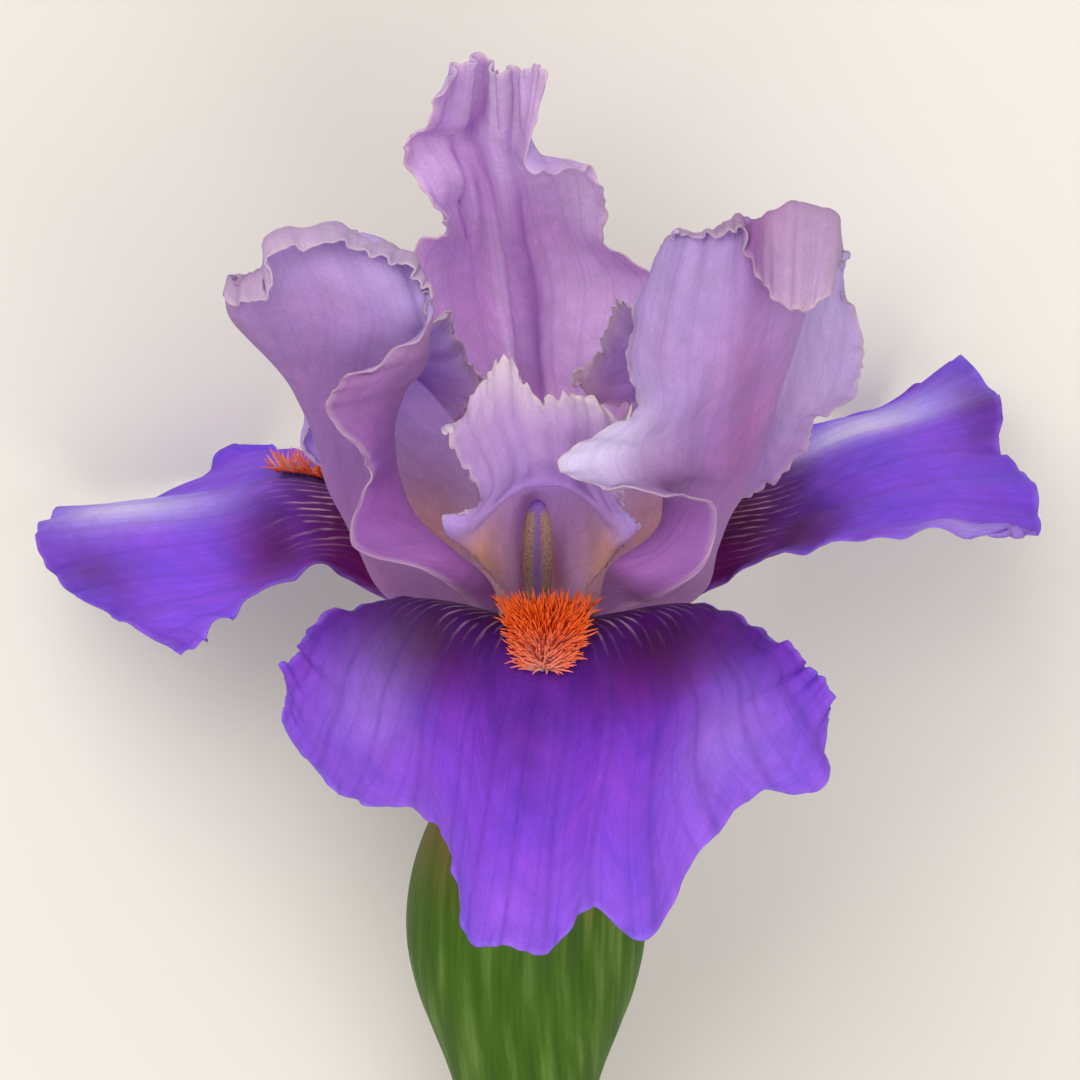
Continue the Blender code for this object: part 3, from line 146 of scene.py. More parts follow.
RIGHT_STANDARD = [
    [(4.9, -1.2, 52.2), (7.2, 1, 47.4), (0.6, -0.5, 0.5)],
    [(8.8, 3.2, 67), (7.4, 5, 66.8), (7, 6.4, 65), (9.4, 4.4, 60.5), (11.5, 2.4, 56.5), (13.8, 2.6, 53),
     (14.4, 3.6, 50.5), (13.8, 4.4, 48.5), (12.8, 5, 47)],
    [(13.4, 5.2, 75.5), (10.4, 7, 76.5), (8, 8.8, 74), (12.4, 7.4, 68), (16.2, 5.6, 61.5),
     (18.4, 5.8, 57.5), (18.6, 7, 54), (17.6, 8, 51.5), (15.8, 8.8, 50)],
    [(18, 8.4, 78.2), (14, 9.8, 78.4), (11.2, 11.2, 75.4), (14.4, 11.2, 70.6), (17.6, 9.9, 64.5),
     (19.2, 9.8, 60.5), (20, 11, 57), (19, 12.4, 54), (17.6, 12.8, 52)],
    [(19.7, 13.2, 79), (15.6, 13.2, 78.4), (12.9, 13.6, 75), (15.8, 14.4, 71), (19.2, 13.6, 66.5),
     (20.9, 13.8, 62), (21.4, 14.9, 58.5), (21.4, 15.3, 56), (20.8, 15.2, 54.5)],
    [(18.8, 15.8, 80.8), (15.4, 15.6, 81), (13.2, 16.2, 77), (16.2, 17, 72.8), (20, 16.6, 69),
     (22.9, 17.2, 66), (21.6, 17.2, 60.6), (22.8, 17, 57.8), (23.4, 16.6, 56.1)],
    [(13.6, 16.8, 86.6), (13.4, 17, 83.6), (13.4, 17.6, 79.4), (16.6, 18.4, 74), (20.8, 18.2, 70.6),
     (23.6, 18.8, 67.8), (22.2, 18.6, 61.6), (24.2, 18, 58.8), (25.6, 17.4, 57)],
    [(5, 17.9, 86.6), (9.6, 17.9, 85.4), (13.6, 19, 81), (17.6, 19.6, 75.6), (21.6, 19.8, 72.2),
     (24.4, 20.6, 69.6), (22.8, 20.6, 62.8), (25.6, 19.8, 59.8), (27.6, 19, 58)],
    [(1.2, 20.1, 88.4), (8, 20.9, 87.6), (13.4, 21.6, 82.4), (17.8, 22.4, 77.6), (22.2, 22.8, 74.4),
     (25.4, 24, 71.6), (23.6, 23.8, 64.4), (27.2, 22.8, 61.6), (30.4, 22, 60.4)],
    [(6.2, 24.1, 86), (9.8, 23.2, 86), (13.6, 24, 82.6), (18, 25.2, 79), (22.8, 26, 76.4),
     (26.4, 27.2, 73.6), (24.6, 26.8, 66.2), (28.2, 25.6, 62.8), (31.4, 24.8, 61.8)],
    [(10.2, 26.2, 83.6), (12.2, 26.8, 83.8), (15, 27.6, 82.4), (19, 29, 80.4), (23.6, 30.4, 78.4),
     (27.5, 31.4, 75.6), (25.8, 30.8, 68.4), (30.4, 28.8, 64.8), (35.6, 27.8, 63.4)],
    [(9.2, 31.8, 77.5), (11.6, 32, 79.5), (15.2, 32.6, 80.8), (19.6, 33.6, 81), (24, 34.6, 80),
     (28.6, 35, 77.2), (27.2, 34.8, 70.4), (31.8, 33.4, 67.4), (36.9, 32.2, 65.8)],
    [(9.8, 38, 74.5), (12.6, 38.4, 77.5), (16.4, 38.8, 80), (20.6, 39.4, 81.5), (25, 39.8, 81.4),
     (29.4, 39.6, 78.8), (29.2, 39, 72.8), (33, 38.2, 70.2), (36.2, 37.2, 69)],
    [(13.3, 43.4, 73), (14.8, 45.9, 76), (18.2, 46, 79), (21.6, 47.8, 81.8), (24.6, 48, 83.5),
     (28.5, 49.7, 84), (32.8, 48.4, 81), (34, 44.6, 75.6), (33.6, 41.6, 71)],
    [(13.6, 44.2, 72), (14.9, 46.2, 77), (18.4, 46, 81.4), (22, 46.2, 85), (24.4, 40.4, 87),
     (27.8, 37.2, 88), (31.4, 38.4, 86.4), (33.6, 43.4, 80), (34, 43, 73.5)],
]

BACK_STANDARD = [
    [(2.6, 3.4, 40.2), (-2.6, 3.4, 40.2), (0, 0.4, -0.4)],
    [(5, 12.5, 37), (-5, 12.5, 37), (0, 0.6, -2)],
    [(9, 24, 33), (-11, 24, 34), (0, 1, -3.2)],
    [(12, 32.5, 35), (8.6, 33, 33.4), (4.4, 33.5, 32.6), (0.6, 33.5, 30.8), (-2, 33.5, 33.6),
     (-4.8, 33.5, 31.6), (-8, 33.5, 32.2), (-11, 33.2, 33.6), (-13.6, 33, 35.8)],
    [(14.2, 41.6, 38.5), (10, 42, 36.4), (5.4, 42, 34.6), (0.8, 42, 33), (-2.8, 42, 36.8), (-6, 41.5, 34.2),
     (-9.6, 42, 35), (-13.2, 43, 37), (-16.3, 45, 40.5)],
    [(7.6, 46, 44), (6, 47, 42.4), (3, 48.5, 40.4), (-0.8, 48.5, 38.4), (-4.2, 48.5, 41.6),
     (-6.6, 48, 39.8), (-9, 47.6, 41.2), (-11, 47.4, 43.2), (-12.4, 47.5, 45.8)],
    [(7.1, 52, 51), (5, 53.6, 50), (1.6, 54.4, 48.2), (-1.8, 54, 45.4), (-5, 54, 47.2), (-7.6, 53.8, 46),
     (-9.8, 53.4, 47.4), (-11.2, 52, 49.4), (-11.8, 50, 50.8)],
    [(4.4, 55, 54.6), (1.4, 55.4, 53.6), (-1.8, 55.6, 52.4), (-3.6, 57.2, 49.8), (-6, 58, 50.4),
     (-9, 58.4, 49.2), (-12.4, 58.6, 50.8), (-15.4, 58.6, 52.4), (-16.2, 57.2, 54)],
    [(-2, 54.5, 57.4), (-1.8, 57.4, 56.6), (-2.4, 60, 55), (-4, 60.8, 53), (-6, 61, 53.6), (-8, 61, 52.4),
     (-10.2, 60.8, 53.6), (-12.6, 60.4, 54.6), (-14, 60, 56.2)],
    [(0.4, 66.4, 60), (-1.2, 67, 58.7), (-2.8, 66.4, 57.5), (-4.4, 67.1, 56.9), (-6, 66.4, 57.9),
     (-7.6, 67.9, 57.1), (-9.2, 67.3, 57.9), (-10.6, 66.5, 58.9), (-11.4, 64.6, 60.1)],
]

PETALS = {
    "fall_front": FRONT_FALL,
    "fall_left": LEFT_FALL,
    "fall_right": RIGHT_FALL,
    "standard_left": LEFT_STANDARD,
    "standard_right": RIGHT_STANDARD,
    "standard_back": BACK_STANDARD,
}

# The stamens: azimuth, then the middle line in the flower's frame as outwards and up.
STAMENS = {"front": -90.0, "left": 150.0, "right": 30.0}
STAMEN_PATH = [(5.6, 0.3), (6.6, 3.6), (8.2, 7.0), (9.6, 9.6), (12.6, 14.6), (15.8, 19.8), (18.0, 23.4),
               (18.7, 24.6)]
STAMEN_HALF_WIDTHS = [0.6, 0.6, 0.55, 1.5, 1.85, 1.7, 1.2, 0.5]
FRONT_STAMEN_SHIFT = -0.9  # how far to the side the front one stands
FILAMENT_HALF_WIDTH = 0.9  # what is wider than this is anther

# The beards: each one's petal, its middle across it, how far along it starts and ends, its half width there,
# its hairs and their length.
BEARDS = {
    "front": ("fall_front", 0.5, 0.33, 0.55, 4.4, 2.8, 760, 3.7),
    "left": ("fall_left", 0.33, 0.34, 0.54, 1.8, 1.3, 120, 4.6),
    "right": ("fall_right", 0.66, 0.34, 0.5, 1.8, 1.3, 120, 4.2),
}
HAIR_LIFT = TISSUE / 2 + 0.05  # how far above the petal's middle the hairs start
HAIR_TIP_RADIUS = 0.03
HAIR_GROWTH = 0.14  # how much thicker their feet are
HAIR_SIDES = 5
HAIR_RINGS = 6
STRIP_LIFT = 0.3  # from the hairs' feet to the middle of the strip of tissue that they grow from
STRIP = 0.5
STRIP_MARGIN = 0.3

# The stem, the ovary and the tube: height along the axis and radius.
STEM_PROFILE = [
    (-STEM_LENGTH, STEM_RADIUS), (-95, 4.2), (-78, 4.0), (-68, 3.9), (-60, 4.2), (-50, 4.9), (-40, 5.4),
    (-30, 5.0), (-22, 3.8), (-14, 3.2), (-8, 3.6), (-4, 5.0), (-1.6, 7.6), (0.0, TUBE_RIM_RADIUS),
]
STEM_LEAN = 2.3  # how far the stem stands to the left of the flower's axis
LEAN_LENGTH = 30.0  # over which it gets there, below the junction
# The two bracts: middle azimuth, half of the arc they wrap, offset outwards and how far their sides tuck in,
# then their profile as height and radius.
BRACTS = {"outer": (-100.0, 128.0, 1.7, 0.0), "inner": (80.0, 112.0, 0.0, 0.12)}
BRACT_PROFILE = [(-71, 4.9), (-66, 5.2), (-60, 6.2), (-55, 7.6), (-50, 9.4), (-45, 11.1), (-39, 12.2),
                 (-33, 12.0), (-27, 10.7), (-22, 9.0), (-17, 7.2), (-13, 5.8)]
BRACT_DEPTH = 0.82  # the bracts' depth as a share of their width
BRACT_TIP = 0.16  # the arc that is left at their tips, as a share

# One style arm, in the flower's own frame: outwards from its axis, across, and up along the axis.
STYLE_ARM = [
    [(1.4, -1.6, 2), (1.4, 1.6, 2), (0, 0, 1.4)],
    [(6.6, -3.8, 4.6), (6.6, 3.8, 4.6), (-0.6, 0, 5)],
    [(10.6, -4.4, 8.8), (10.6, 4.2, 8.8), (-0.6, 0, 8.2)],
    [(13.2, -5.6, 12.2), (14.4, -6, 15.2), (14.8, -5.4, 18.6), (14.2, -3.4, 21.8), (13.6, 0, 23),
     (14.2, 3.4, 21.8), (14.8, 5.2, 18.4), (14.4, 5.8, 15), (13.2, 5.2, 12)],
    [(18.4, -8.8, 18), (20.2, -8.4, 20.4), (21, -6.8, 23.4), (21.2, -3.8, 27.8), (21.2, 0, 29.4),
     (21.2, 3.8, 27.8), (21, 6.6, 23), (20.2, 7.8, 19.8), (18.4, 7.8, 17.4)],
    [(22.6, -12.4, 24.2), (24.2, -9.8, 23.8), (25.6, -6.9, 25.8), (27.4, -3.6, 29.4), (28, 0, 30.8),
     (27.4, 3.6, 29.4), (25.6, 6.8, 26), (24.2, 9.2, 23.8), (22.6, 11.2, 24)],
    [(25.2, -7.6, 26.6), (25.6, -6.4, 28.8), (26, -4.8, 30.6), (26.4, -2.6, 32.2), (26.4, -0.3, 32.8),
     (26.4, 2.8, 32.2), (26, 5.2, 30.6), (25.6, 7, 29), (25.2, 8.6, 27.2)],
    [(24.4, -10.8, 32.8), (24.2, -9.2, 35.3), (24.2, -6.8, 37.6), (24.2, -4, 38.2), (24.4, -0.8, 36.6),
     (24.4, 2.8, 37.4), (24.4, 6, 36), (24.4, 9, 33.8), (24.6, 11.4, 30.4)],
    [(23.6, -10.2, 34.9), (23, -9, 37.5), (22.4, -7.1, 42.1), (22, -4.2, 44.3), (23, -1.4, 39.7),
     (22.6, 2.2, 39.9), (22.6, 5.2, 39.5), (23.2, 8.4, 36.9), (24, 11.6, 32.1)],
]
# The last rows of a side arm, whose crest folds in over the flower's middle, from rear side to front.
SIDE_CREST = [
    [(21, -8.4, 24), (22.5, -7.2, 27), (24, -5.2, 29.5), (25, -2.8, 31.5), (25.5, -0.3, 32.4),
     (25.5, 2.8, 32), (25.2, 5.2, 31), (24.4, 6.2, 29.3), (23.8, 7.2, 27.6)],
    [(12.8, -7.6, 22.6), (15, -6.8, 27.5), (17, -5.4, 31.5), (18.4, -3.6, 34), (20, -0.6, 33.5),
     (19.5, 3, 35), (20, 6, 34), (19.8, 7.2, 32), (20.2, 7.8, 29.6)],
    [(11, -7.2, 26.5), (13.6, -6.2, 30.2), (14.2, -5, 34.3), (14.8, -3.2, 37.6), (17.4, -0.4, 34.4),
     (16.5, 3.5, 37.6), (17, 6, 37), (17.4, 7.2, 34.2), (18.2, 8, 31.2)],
]
# The arms: azimuth in degrees, width as a share, skew, and how far the crest's top moves outwards and up.
STYLE_ARMS = {
    "front": (-90.0, 1.0, 0.0, 0.0, 0.0),
    "left": (152.0, 1.12, 0.25, 0.0, 0.0),
    "right": (28.0, 1.12, 0.25, -3.2, 2.0),
}
# The style's column: height and radius.
STYLE_COLUMN = [(SEAT_GAP, 3.6), (1.2, 3.2), (2.5, 3.0), (5.0, 2.6)]

# Waves of the margins, in millimetres: seed, height and how many along a side and along the outer edge.
WAVES = {
    "fall_front": (3, 0.75, 5, 9),
    "fall_left": (7, 0.7, 6, 6),
    "fall_right": (11, 0.7, 6, 6),
    "standard_left": (17, 0.45, 9, 8),
    "standard_right": (23, 0.45, 9, 8),
    "standard_back": (29, 0.55, 9, 6),
    "style": (31, 0.5, 3, 7),
}
# The frill of each margin: seed, height of the small waves, waves along a side and along the outer edge, and
# the depth and the pitch of its teeth, in millimetres.
FRILLS = {
    "fall_front": (41, 0.6, 16, 26, 0.9, 3.0),
    "fall_left": (43, 0.35, 6, 14, 0.25, 2.4),
    "fall_right": (47, 0.35, 6, 14, 0.25, 2.4),
    "standard_left": (53, 0.5, 12, 18, 0.5, 1.2),
    "standard_right": (59, 0.5, 20, 15, 0.55, 1.2),
    "standard_back": (61, 0.4, 18, 11, 0.7, 1.3),
    "style": (67, 0.35, 9, 22, 1.8, 0.75),
    "bract": (71, 0.1, 8, 6, 0.15, 2.0),
}
# How far in from a margin its waves and frill reach, as a share of the sheet, and its teeth in millimetres.
SLOW_REACH = 0.3
WAVE_REACH = 0.1
FRILL_REACH = 0.04
TOOTH_REACH = 0.9

# Folds of each sheet: where each starts and ends, along and across, its depth in millimetres and its half
# width as a share of the sheet.
FOLDS = {
    "fall_front": [(0.62, 0.5, 1, 0.5, -0.5, 0.03), (0.6, 0.38, 1, 0.36, -0.5, 0.03),
                   (0.6, 0.62, 1, 0.66, -0.5, 0.03), (0.6, 0.25, 0.95, 0.15, -0.6, 0.04),
                   (0.6, 0.78, 0.95, 0.86, -0.6, 0.04)],
    "fall_left": [(0.5, 0.35, 0.95, 0.3, -0.6, 0.05), (0.55, 0.75, 0.95, 0.8, -0.6, 0.05),
                  (0.6, 1, 0.9, 1, 1, 0.06)],
    "fall_right": [(0.5, 0.68, 0.95, 0.65, -0.6, 0.05), (0.55, 0.3, 0.95, 0.3, -0.6, 0.05),
                   (0.55, 0, 0.95, 0, 1.2, 0.07)],
    "standard_left": [(0.4, 0.35, 0.9, 0.3, -0.7, 0.05), (0.45, 0.5, 0.95, 0.5, 0.6, 0.05),
                      (0.45, 0.66, 0.9, 0.7, -0.6, 0.04)],
    "standard_right": [(0.2, 0.4, 0.5, 0.45, -0.5, 0.04), (0.3, 0.25, 0.7, 0.3, -0.5, 0.05),
                       (0.6, 0.42, 0.85, 0.4, -0.6, 0.05), (0.5, 0.8, 0.75, 0.95, -0.4, 0.04)],
    "standard_back": [(0.33, 0.5, 0.55, 0.5, 0.9, 0.05), (0.33, 0.6, 0.6, 0.57, -0.8, 0.04),
                      (0.33, 0.41, 0.58, 0.43, -0.6, 0.04), (0.95, 0.6, 0.66, 0.63, -1, 0.05),
                      (0.92, 0.42, 0.7, 0.5, 0.8, 0.07), (0.78, 0.12, 0.5, 0.32, -0.7, 0.05),
                      (0.6, 0.9, 0.5, 0.66, -0.7, 0.05), (0.72, 1, 0.6, 0.74, -1.3, 0.03),
                      (0.6, 0.74, 0.88, 0.63, -1.3, 0.03), (0.72, 0.85, 0.66, 0.7, 0.9, 0.05)],
    "style": [(0.7, 0.5, 1, 0.5, -0.5, 0.05), (0.75, 0.3, 1, 0.25, 0.4, 0.05),
              (0.75, 0.7, 1, 0.75, 0.4, 0.05)],
    "bract": [],
}

# Rows and columns of each piece's fine surface.
FINE_GRID = {
    "fall_front": (120, 200),
    "fall_left": (130, 160),
    "fall_right": (130, 160),
    "standard_left": (170, 130),
    "standard_right": (180, 130),
    "standard_back": (160, 120),
    "style": (110, 110),
    "bract": (90, 80),
}


def span(first, last, bow, count):
    """Points from first to last, pushed out by bow in the middle."""
    share = np.linspace(0.0, 1.0, count)[:, None]
    straight = np.array(first) * (1 - share) + np.array(last) * share
    return straight + np.array(bow) * np.sin(math.pi * share)


def full_net(rows):
    """The net as an array: a row of three entries is two ends and a bow."""
    count = max(len(row) for row in rows)
    return np.array([span(*row, count) if len(row) == 3 else np.array(row, float) for row in rows])


def spline_weights(count, where):
    """Weights that read a smooth curve through count points at each place in where, from 0 to 1."""
    scaled = np.clip(where, 0, 1) * (count - 1)
    first = np.minimum(scaled.astype(int), count - 2)
    f = scaled - first
    basis = 0.5 * np.stack([
        -f + 2 * f**2 - f**3,
        2 - 5 * f**2 + 3 * f**3,
        f + 4 * f**2 - 3 * f**3,
        -(f**2) + f**3,
    ], axis=1)
    weights = np.zeros((len(where), count + 2))
    for step in range(4):
        weights[np.arange(len(where)), first + step] += basis[:, step]
    # Past both ends the curve goes straight on.
    weights[:, 1] += 2 * weights[:, 0]
    weights[:, 2] -= weights[:, 0]
    weights[:, count] += 2 * weights[:, count + 1]
    weights[:, count - 1] -= weights[:, count + 1]
    return weights[:, 1:count + 1]


def read_net(net, along, across):
    """The sheet's points at these places along and across the net."""
    first = spline_weights(net.shape[0], along)
    second = spline_weights(net.shape[1], across)
    return np.einsum("ai,ijk,bj->abk", first, net, second)


def unit(vectors):
    """The same vectors, each of length 1."""
    return vectors / np.maximum(np.linalg.norm(vectors, axis=-1, keepdims=True), 1e-9)


def normals_of(grid):
    """Unit normals of a sheet."""
    return unit(np.cross(np.gradient(grid, axis=0), np.gradient(grid, axis=1)))


def wave(places, seed, count):
    """A wavy line between -1 and 1 that never quite repeats."""
    draw = np.random.default_rng(seed)
    first, second, third = draw.uniform(0, 2 * math.pi, 3)
    turns = 2 * math.pi * count
    drift = 0.35 * np.sin(2 * math.pi * places + third)
    return 0.65 * np.sin(turns * places + first + drift) + 0.35 * np.sin(1.7 * turns * places + second)


def margin_waves(along, across, seed, height, side_count, end_count, reach):
    """How far the margins swing out of the sheet. The claw's sides stay still."""
    rise = np.clip((along - 0.25) / 0.3, 0, 1)[:, None]
    left = np.exp(-across / reach)[None, :] * wave(along, seed, side_count)[:, None]
    right = np.exp((across - 1) / reach)[None, :] * wave(along, seed + 1, side_count)[:, None]
    end = np.exp((along - 1) / reach)[:, None] * wave(across, seed + 2, end_count)[None, :]
    return (height * (rise * (left + right) + end))[..., None]


def waved(grid, along, across, name):
    """The sheet with its waved margins."""
    return grid + normals_of(grid) * margin_waves(along, across, *WAVES[name], WAVE_REACH)


def to_table(grid, azimuth_deg):
    """From outwards, across and up in the flower's frame to x, y and z on the table."""
    turn = math.radians(azimuth_deg)
    out, side, up = grid[..., 0], grid[..., 1], grid[..., 2]
    right = out * math.cos(turn) - side * math.sin(turn)
    back = out * math.sin(turn) + side * math.cos(turn)
    y = math.cos(TILT) * up + math.sin(TILT) * back
    z = JUNCTION_HEIGHT + math.sin(TILT) * up - math.cos(TILT) * back
    return np.stack([right, y, z], axis=-1)


def petal_sheet(name, along, across):
    """The middle of a petal."""
    return waved(read_net(full_net(PETALS[name]), along, across), along, across, name)


def style_sheet(arm, along, across):
    """The middle of one style arm, with its crest. The right arm mirrors the left one."""
    azimuth, width, skew, move_out, move_up = STYLE_ARMS[arm]
    net = full_net(STYLE_ARM)
    if arm != "front":
        net[-3:] = np.array(SIDE_CREST)
    rise = np.array([0.6, 1.0])[:, None]
    skew_height = 10.0
    net[-2:, :, 0] += move_out * rise
    net[-2:, :, 2] += move_up * rise
    net[..., 1] *= width
    net[:-3, :, 0] += skew * net[:-3, :, 1] * np.clip(net[:-3, :, 2] / skew_height, 0, 1)
    grid = waved(read_net(net, along, across), along, across, "style")
    if arm == "right":
        grid[..., 1] *= -1
    return to_table(grid, azimuth)


def lean(up):
    """How far the stem stands aside at this height along the axis."""
    share = np.clip(-np.asarray(up, float) / LEAN_LENGTH, 0, 1)
    return -STEM_LEAN * share * share * (3 - 2 * share)


def bract_sheet(which, along, across):
    """The middle of one bract, wrapped round the ovary and pointed at its tip."""
    azimuth, half_arc, offset, tuck = BRACTS[which]
    profile = np.array(BRACT_PROFILE)
    line = read_net(np.repeat(profile[:, None, :], 2, axis=1), along, np.array([0.0]))[:, 0]
    taper = np.clip((1.0 - along) / 0.3, 0.0, 1.0) ** 0.6
    arc = np.radians(half_arc) * (BRACT_TIP + (1 - BRACT_TIP) * taper)
    sway = 2 * across[None, :] - 1
    turn = math.radians(azimuth) + sway * arc[:, None]
    rise = np.clip(along / 0.12, 0.1, 1)[:, None]
    radius = line[:, 1:2] * (1 - tuck * np.abs(sway) ** 2) + offset * rise
    depth = 1 - (1 - BRACT_DEPTH) * np.clip(along / 0.2, 0, 1)[:, None]
    up = line[:, :1] - 4 * offset * (1 - rise) + 0 * turn
    grid = to_table(np.stack([radius * np.cos(turn), radius * np.sin(turn) * depth, up], axis=-1), 0.0)
    grid[..., 0] += lean(up)
    return grid


def beard_frame(which, share, sway):
    """Places on the inner face of a fall, with the ways out, along and across there. Share runs from the
    beard's start to its end, and sway from -1 to 1 across it."""
    petal, centre, start, end, first_width, last_width = BEARDS[which][:6]
    net = full_net(PETALS[petal])
    near, step = 0.05, 0.01

    def spot(some_along, some_across):
        rows = spline_weights(net.shape[0], some_along)
        columns = spline_weights(net.shape[1], some_across)
        return np.einsum("ai,ijk,aj->ak", rows, net, columns)

    along = start + (end - start) * share
    sides = read_net(net, along, np.array([centre - near, centre + near]))
    width = np.linalg.norm(sides[:, 1] - sides[:, 0], axis=1) / (2 * near)
    across = centre + sway * (first_width + (last_width - first_width) * share) / width
    point = spot(along, across)
    ahead = unit(spot(along + step, across) - point)
    out = unit(np.cross(ahead, spot(along, across + step) - point))
    return point, out, ahead, np.cross(out, ahead)


def seat(points, first, count):
    """Slides a claw's rim along the flower's axis until it lies just above the tube."""
    axis = np.array([0.0, math.cos(TILT), math.sin(TILT)])
    rim = points[first:first + count]
    height = (rim - np.array([0.0, 0.0, JUNCTION_HEIGHT])) @ axis
    points[first:first + count] = rim + (SEAT_GAP - height)[:, None] * axis


def spaced(count, both_ends):
    """Places from 0 to 1 that lie closer together towards the last one, or towards both ends."""
    even = np.linspace(0, 1, count)
    bunched = 0.5 - 0.5 * np.cos(math.pi * even) if both_ends else np.sin(0.5 * math.pi * even)
    return 0.45 * even + 0.55 * bunched


def ragged(places, seed, pitch):
    """Teeth between 0 and 1 along a margin, with places and pitch in millimetres."""
    draw = np.random.default_rng(seed)
    count = int(places.max() / pitch) + 3
    return np.interp(places, np.arange(count) * pitch, draw.uniform(0, 1, count) ** 1.5)


def margin_gaps(grid):
    """How far each point of a sheet lies from its first side, last side and outer edge, in millimetres."""
    across = np.linalg.norm(np.diff(grid, axis=1), axis=2)
    along = np.linalg.norm(np.diff(grid, axis=0), axis=2)
    left = np.pad(np.cumsum(across, axis=1), ((0, 0), (1, 0)))
    end = np.pad(np.cumsum(along[::-1], axis=0)[::-1], ((0, 1), (0, 0)))
    return left, left[:, -1:] - left, end


def folded(grid, along, across, folds):
    """The sheet with its folds."""
    rise = np.zeros((len(along), len(across)))
    for first, first_side, last, last_side, depth, reach in folds:
        way = np.array([last - first, last_side - first_side])
        here = (along - first)[:, None] * way[0] + (across - first_side)[None, :] * way[1]
        share = np.clip(here / (way @ way), 0, 1)
        off_along = (along[:, None] - first - share * way[0]) / 2
        off_across = across[None, :] - first_side - share * way[1]
        rise += depth * np.exp(-(off_along ** 2 + off_across ** 2) / reach ** 2)
    return grid + normals_of(grid) * rise[..., None]


def frilled(grid, along, across, seed, height, side_count, end_count, depth, pitch):
    """The sheet with slow and small waves and with teeth along its margins. The claw has no teeth."""
    slow = margin_waves(along, across, seed + 6, 0.7 * height, side_count / 4, end_count / 3, SLOW_REACH)
    small = margin_waves(along, across, seed, height, side_count, end_count, FRILL_REACH)
    grid = grid + normals_of(grid) * (slow + small)
    left, right, end = margin_gaps(grid)
    aside = unit(np.gradient(grid, axis=1))
    ahead = unit(np.gradient(grid, axis=0))
    down = end[0].max() - end[:, :1]
    rise = np.clip((along - 0.2) / 0.2, 0, 1)[:, None]
    push_left = ragged(down, seed + 3, pitch) * np.exp(-left / TOOTH_REACH) * rise
    push_right = ragged(down, seed + 4, pitch) * np.exp(-right / TOOTH_REACH) * rise
    push_end = ragged(left[-1:], seed + 5, pitch) * np.exp(-end / TOOTH_REACH)
    return grid - depth * ((push_right - push_left)[..., None] * aside + push_end[..., None] * ahead)


def sheet_faces(middle):
    """Triangles of a closed sheet: both faces are cut along the same diagonals, then the rim."""
    rows, columns = middle.shape[:2]
    back = rows * columns

    def at(i, j):
        return i * columns + j

    faces = []
    for i in range(rows - 1):
        for j in range(columns - 1):
            a, b, c, d = at(i, j), at(i + 1, j), at(i + 1, j + 1), at(i, j + 1)
            one = np.linalg.norm(middle[i, j] - middle[i + 1, j + 1])
            other = np.linalg.norm(middle[i + 1, j] - middle[i, j + 1])
            halves = ((a, b, c), (a, c, d)) if one <= other else ((a, b, d), (b, c, d))
            for x, y, z in halves:
                faces.append((x, y, z))
                faces.append((x + back, z + back, y + back))
    ring = [at(0, j) for j in range(columns)]
    ring += [at(i, columns - 1) for i in range(1, rows)]
    ring += [at(rows - 1, j) for j in range(columns - 2, -1, -1)]
    ring += [at(i, 0) for i in range(rows - 2, 0, -1)]
    for here, there in zip(ring, ring[1:] + ring[:1]):
        faces.append((here, there, there + back))
        faces.append((here, there + back, here + back))
    return faces


def sheet_points(middle, thickness, edge):
    """Both faces of thin tissue that narrows towards its margin. It lies flat on the table where it would
    reach below it."""
    nearest = np.minimum.reduce(margin_gaps(middle))
    half = 0.5 * (edge + (thickness - edge) * np.clip(nearest / MARGIN_WIDTH, 0, 1))[..., None]
    normal = normals_of(middle)
    flat = middle[..., 2:3] < half + FLAT_MARGIN
    upright = np.array([0.0, 0.0, 1.0]) * np.where(normal[..., 2:3] < 0, -1.0, 1.0)
    normal = np.where(flat, upright, normal)
    middle = middle.copy()
    middle[..., 2:3] = np.where(flat, half, middle[..., 2:3])
    return np.concatenate([(middle + normal * half).reshape(-1, 3), (middle - normal * half).reshape(-1, 3)])


def patch(along, across, patches):
    """How strong the nearest of these soft patches is at each point of a sheet."""
    total = np.zeros((len(along), len(across)))
    for middle, side, reach, width, strength in patches:
        here = ((along - middle) / reach)[:, None] ** 2 + ((across - side) / width)[None, :] ** 2
        total = np.maximum(total, strength * np.exp(-here))
    return total


def sheet_values(middle, along, across, patches):
    """What the sheet's material reads at each point of both faces."""
    left, right, end = margin_gaps(middle)
    rows, columns = middle.shape[:2]
    values = {
        "along": np.repeat(along[:, None], columns, axis=1),
        "across": np.repeat(across[None, :], rows, axis=0),
        "edge": np.minimum.reduce([left, right, end]),
        "lie_x": 0.5 * (left - right),
        "lie_y": end[:1].max() - end,
    }
    for key in ("pale", "warm", "deep_and_shade", "marks"):
        values[key] = patch(along, across, patches.get(key, []))
    values = {key: np.tile(value.ravel(), 2) for key, value in values.items()}
    values["outside"] = np.repeat([0.0, 1.0], rows * columns)
    return values


def tissue(sheet, which, name, patches, thickness=TISSUE, edge=TISSUE_MARGIN):
    """Points, faces and values of a sheet of tissue, with the folds and frills that the tables hold."""
    rows, columns = FINE_GRID[name]
    along = spaced(rows, False)
    across = spaced(columns, True)
    middle = folded(sheet(which, along, across), along, across, FOLDS[name])
    middle = frilled(middle, along, across, *FRILLS[name])
    values = sheet_values(middle, along, across, patches)
    return sheet_points(middle, thickness, edge), sheet_faces(middle), values


def ring_round_axis(up, radius, turn):
    """A ring round the flower's axis at this height and radius."""
    ring = np.stack([radius * np.cos(turn), radius * np.sin(turn), np.full(len(turn), up)], axis=-1)
    return to_table(ring, 0.0)


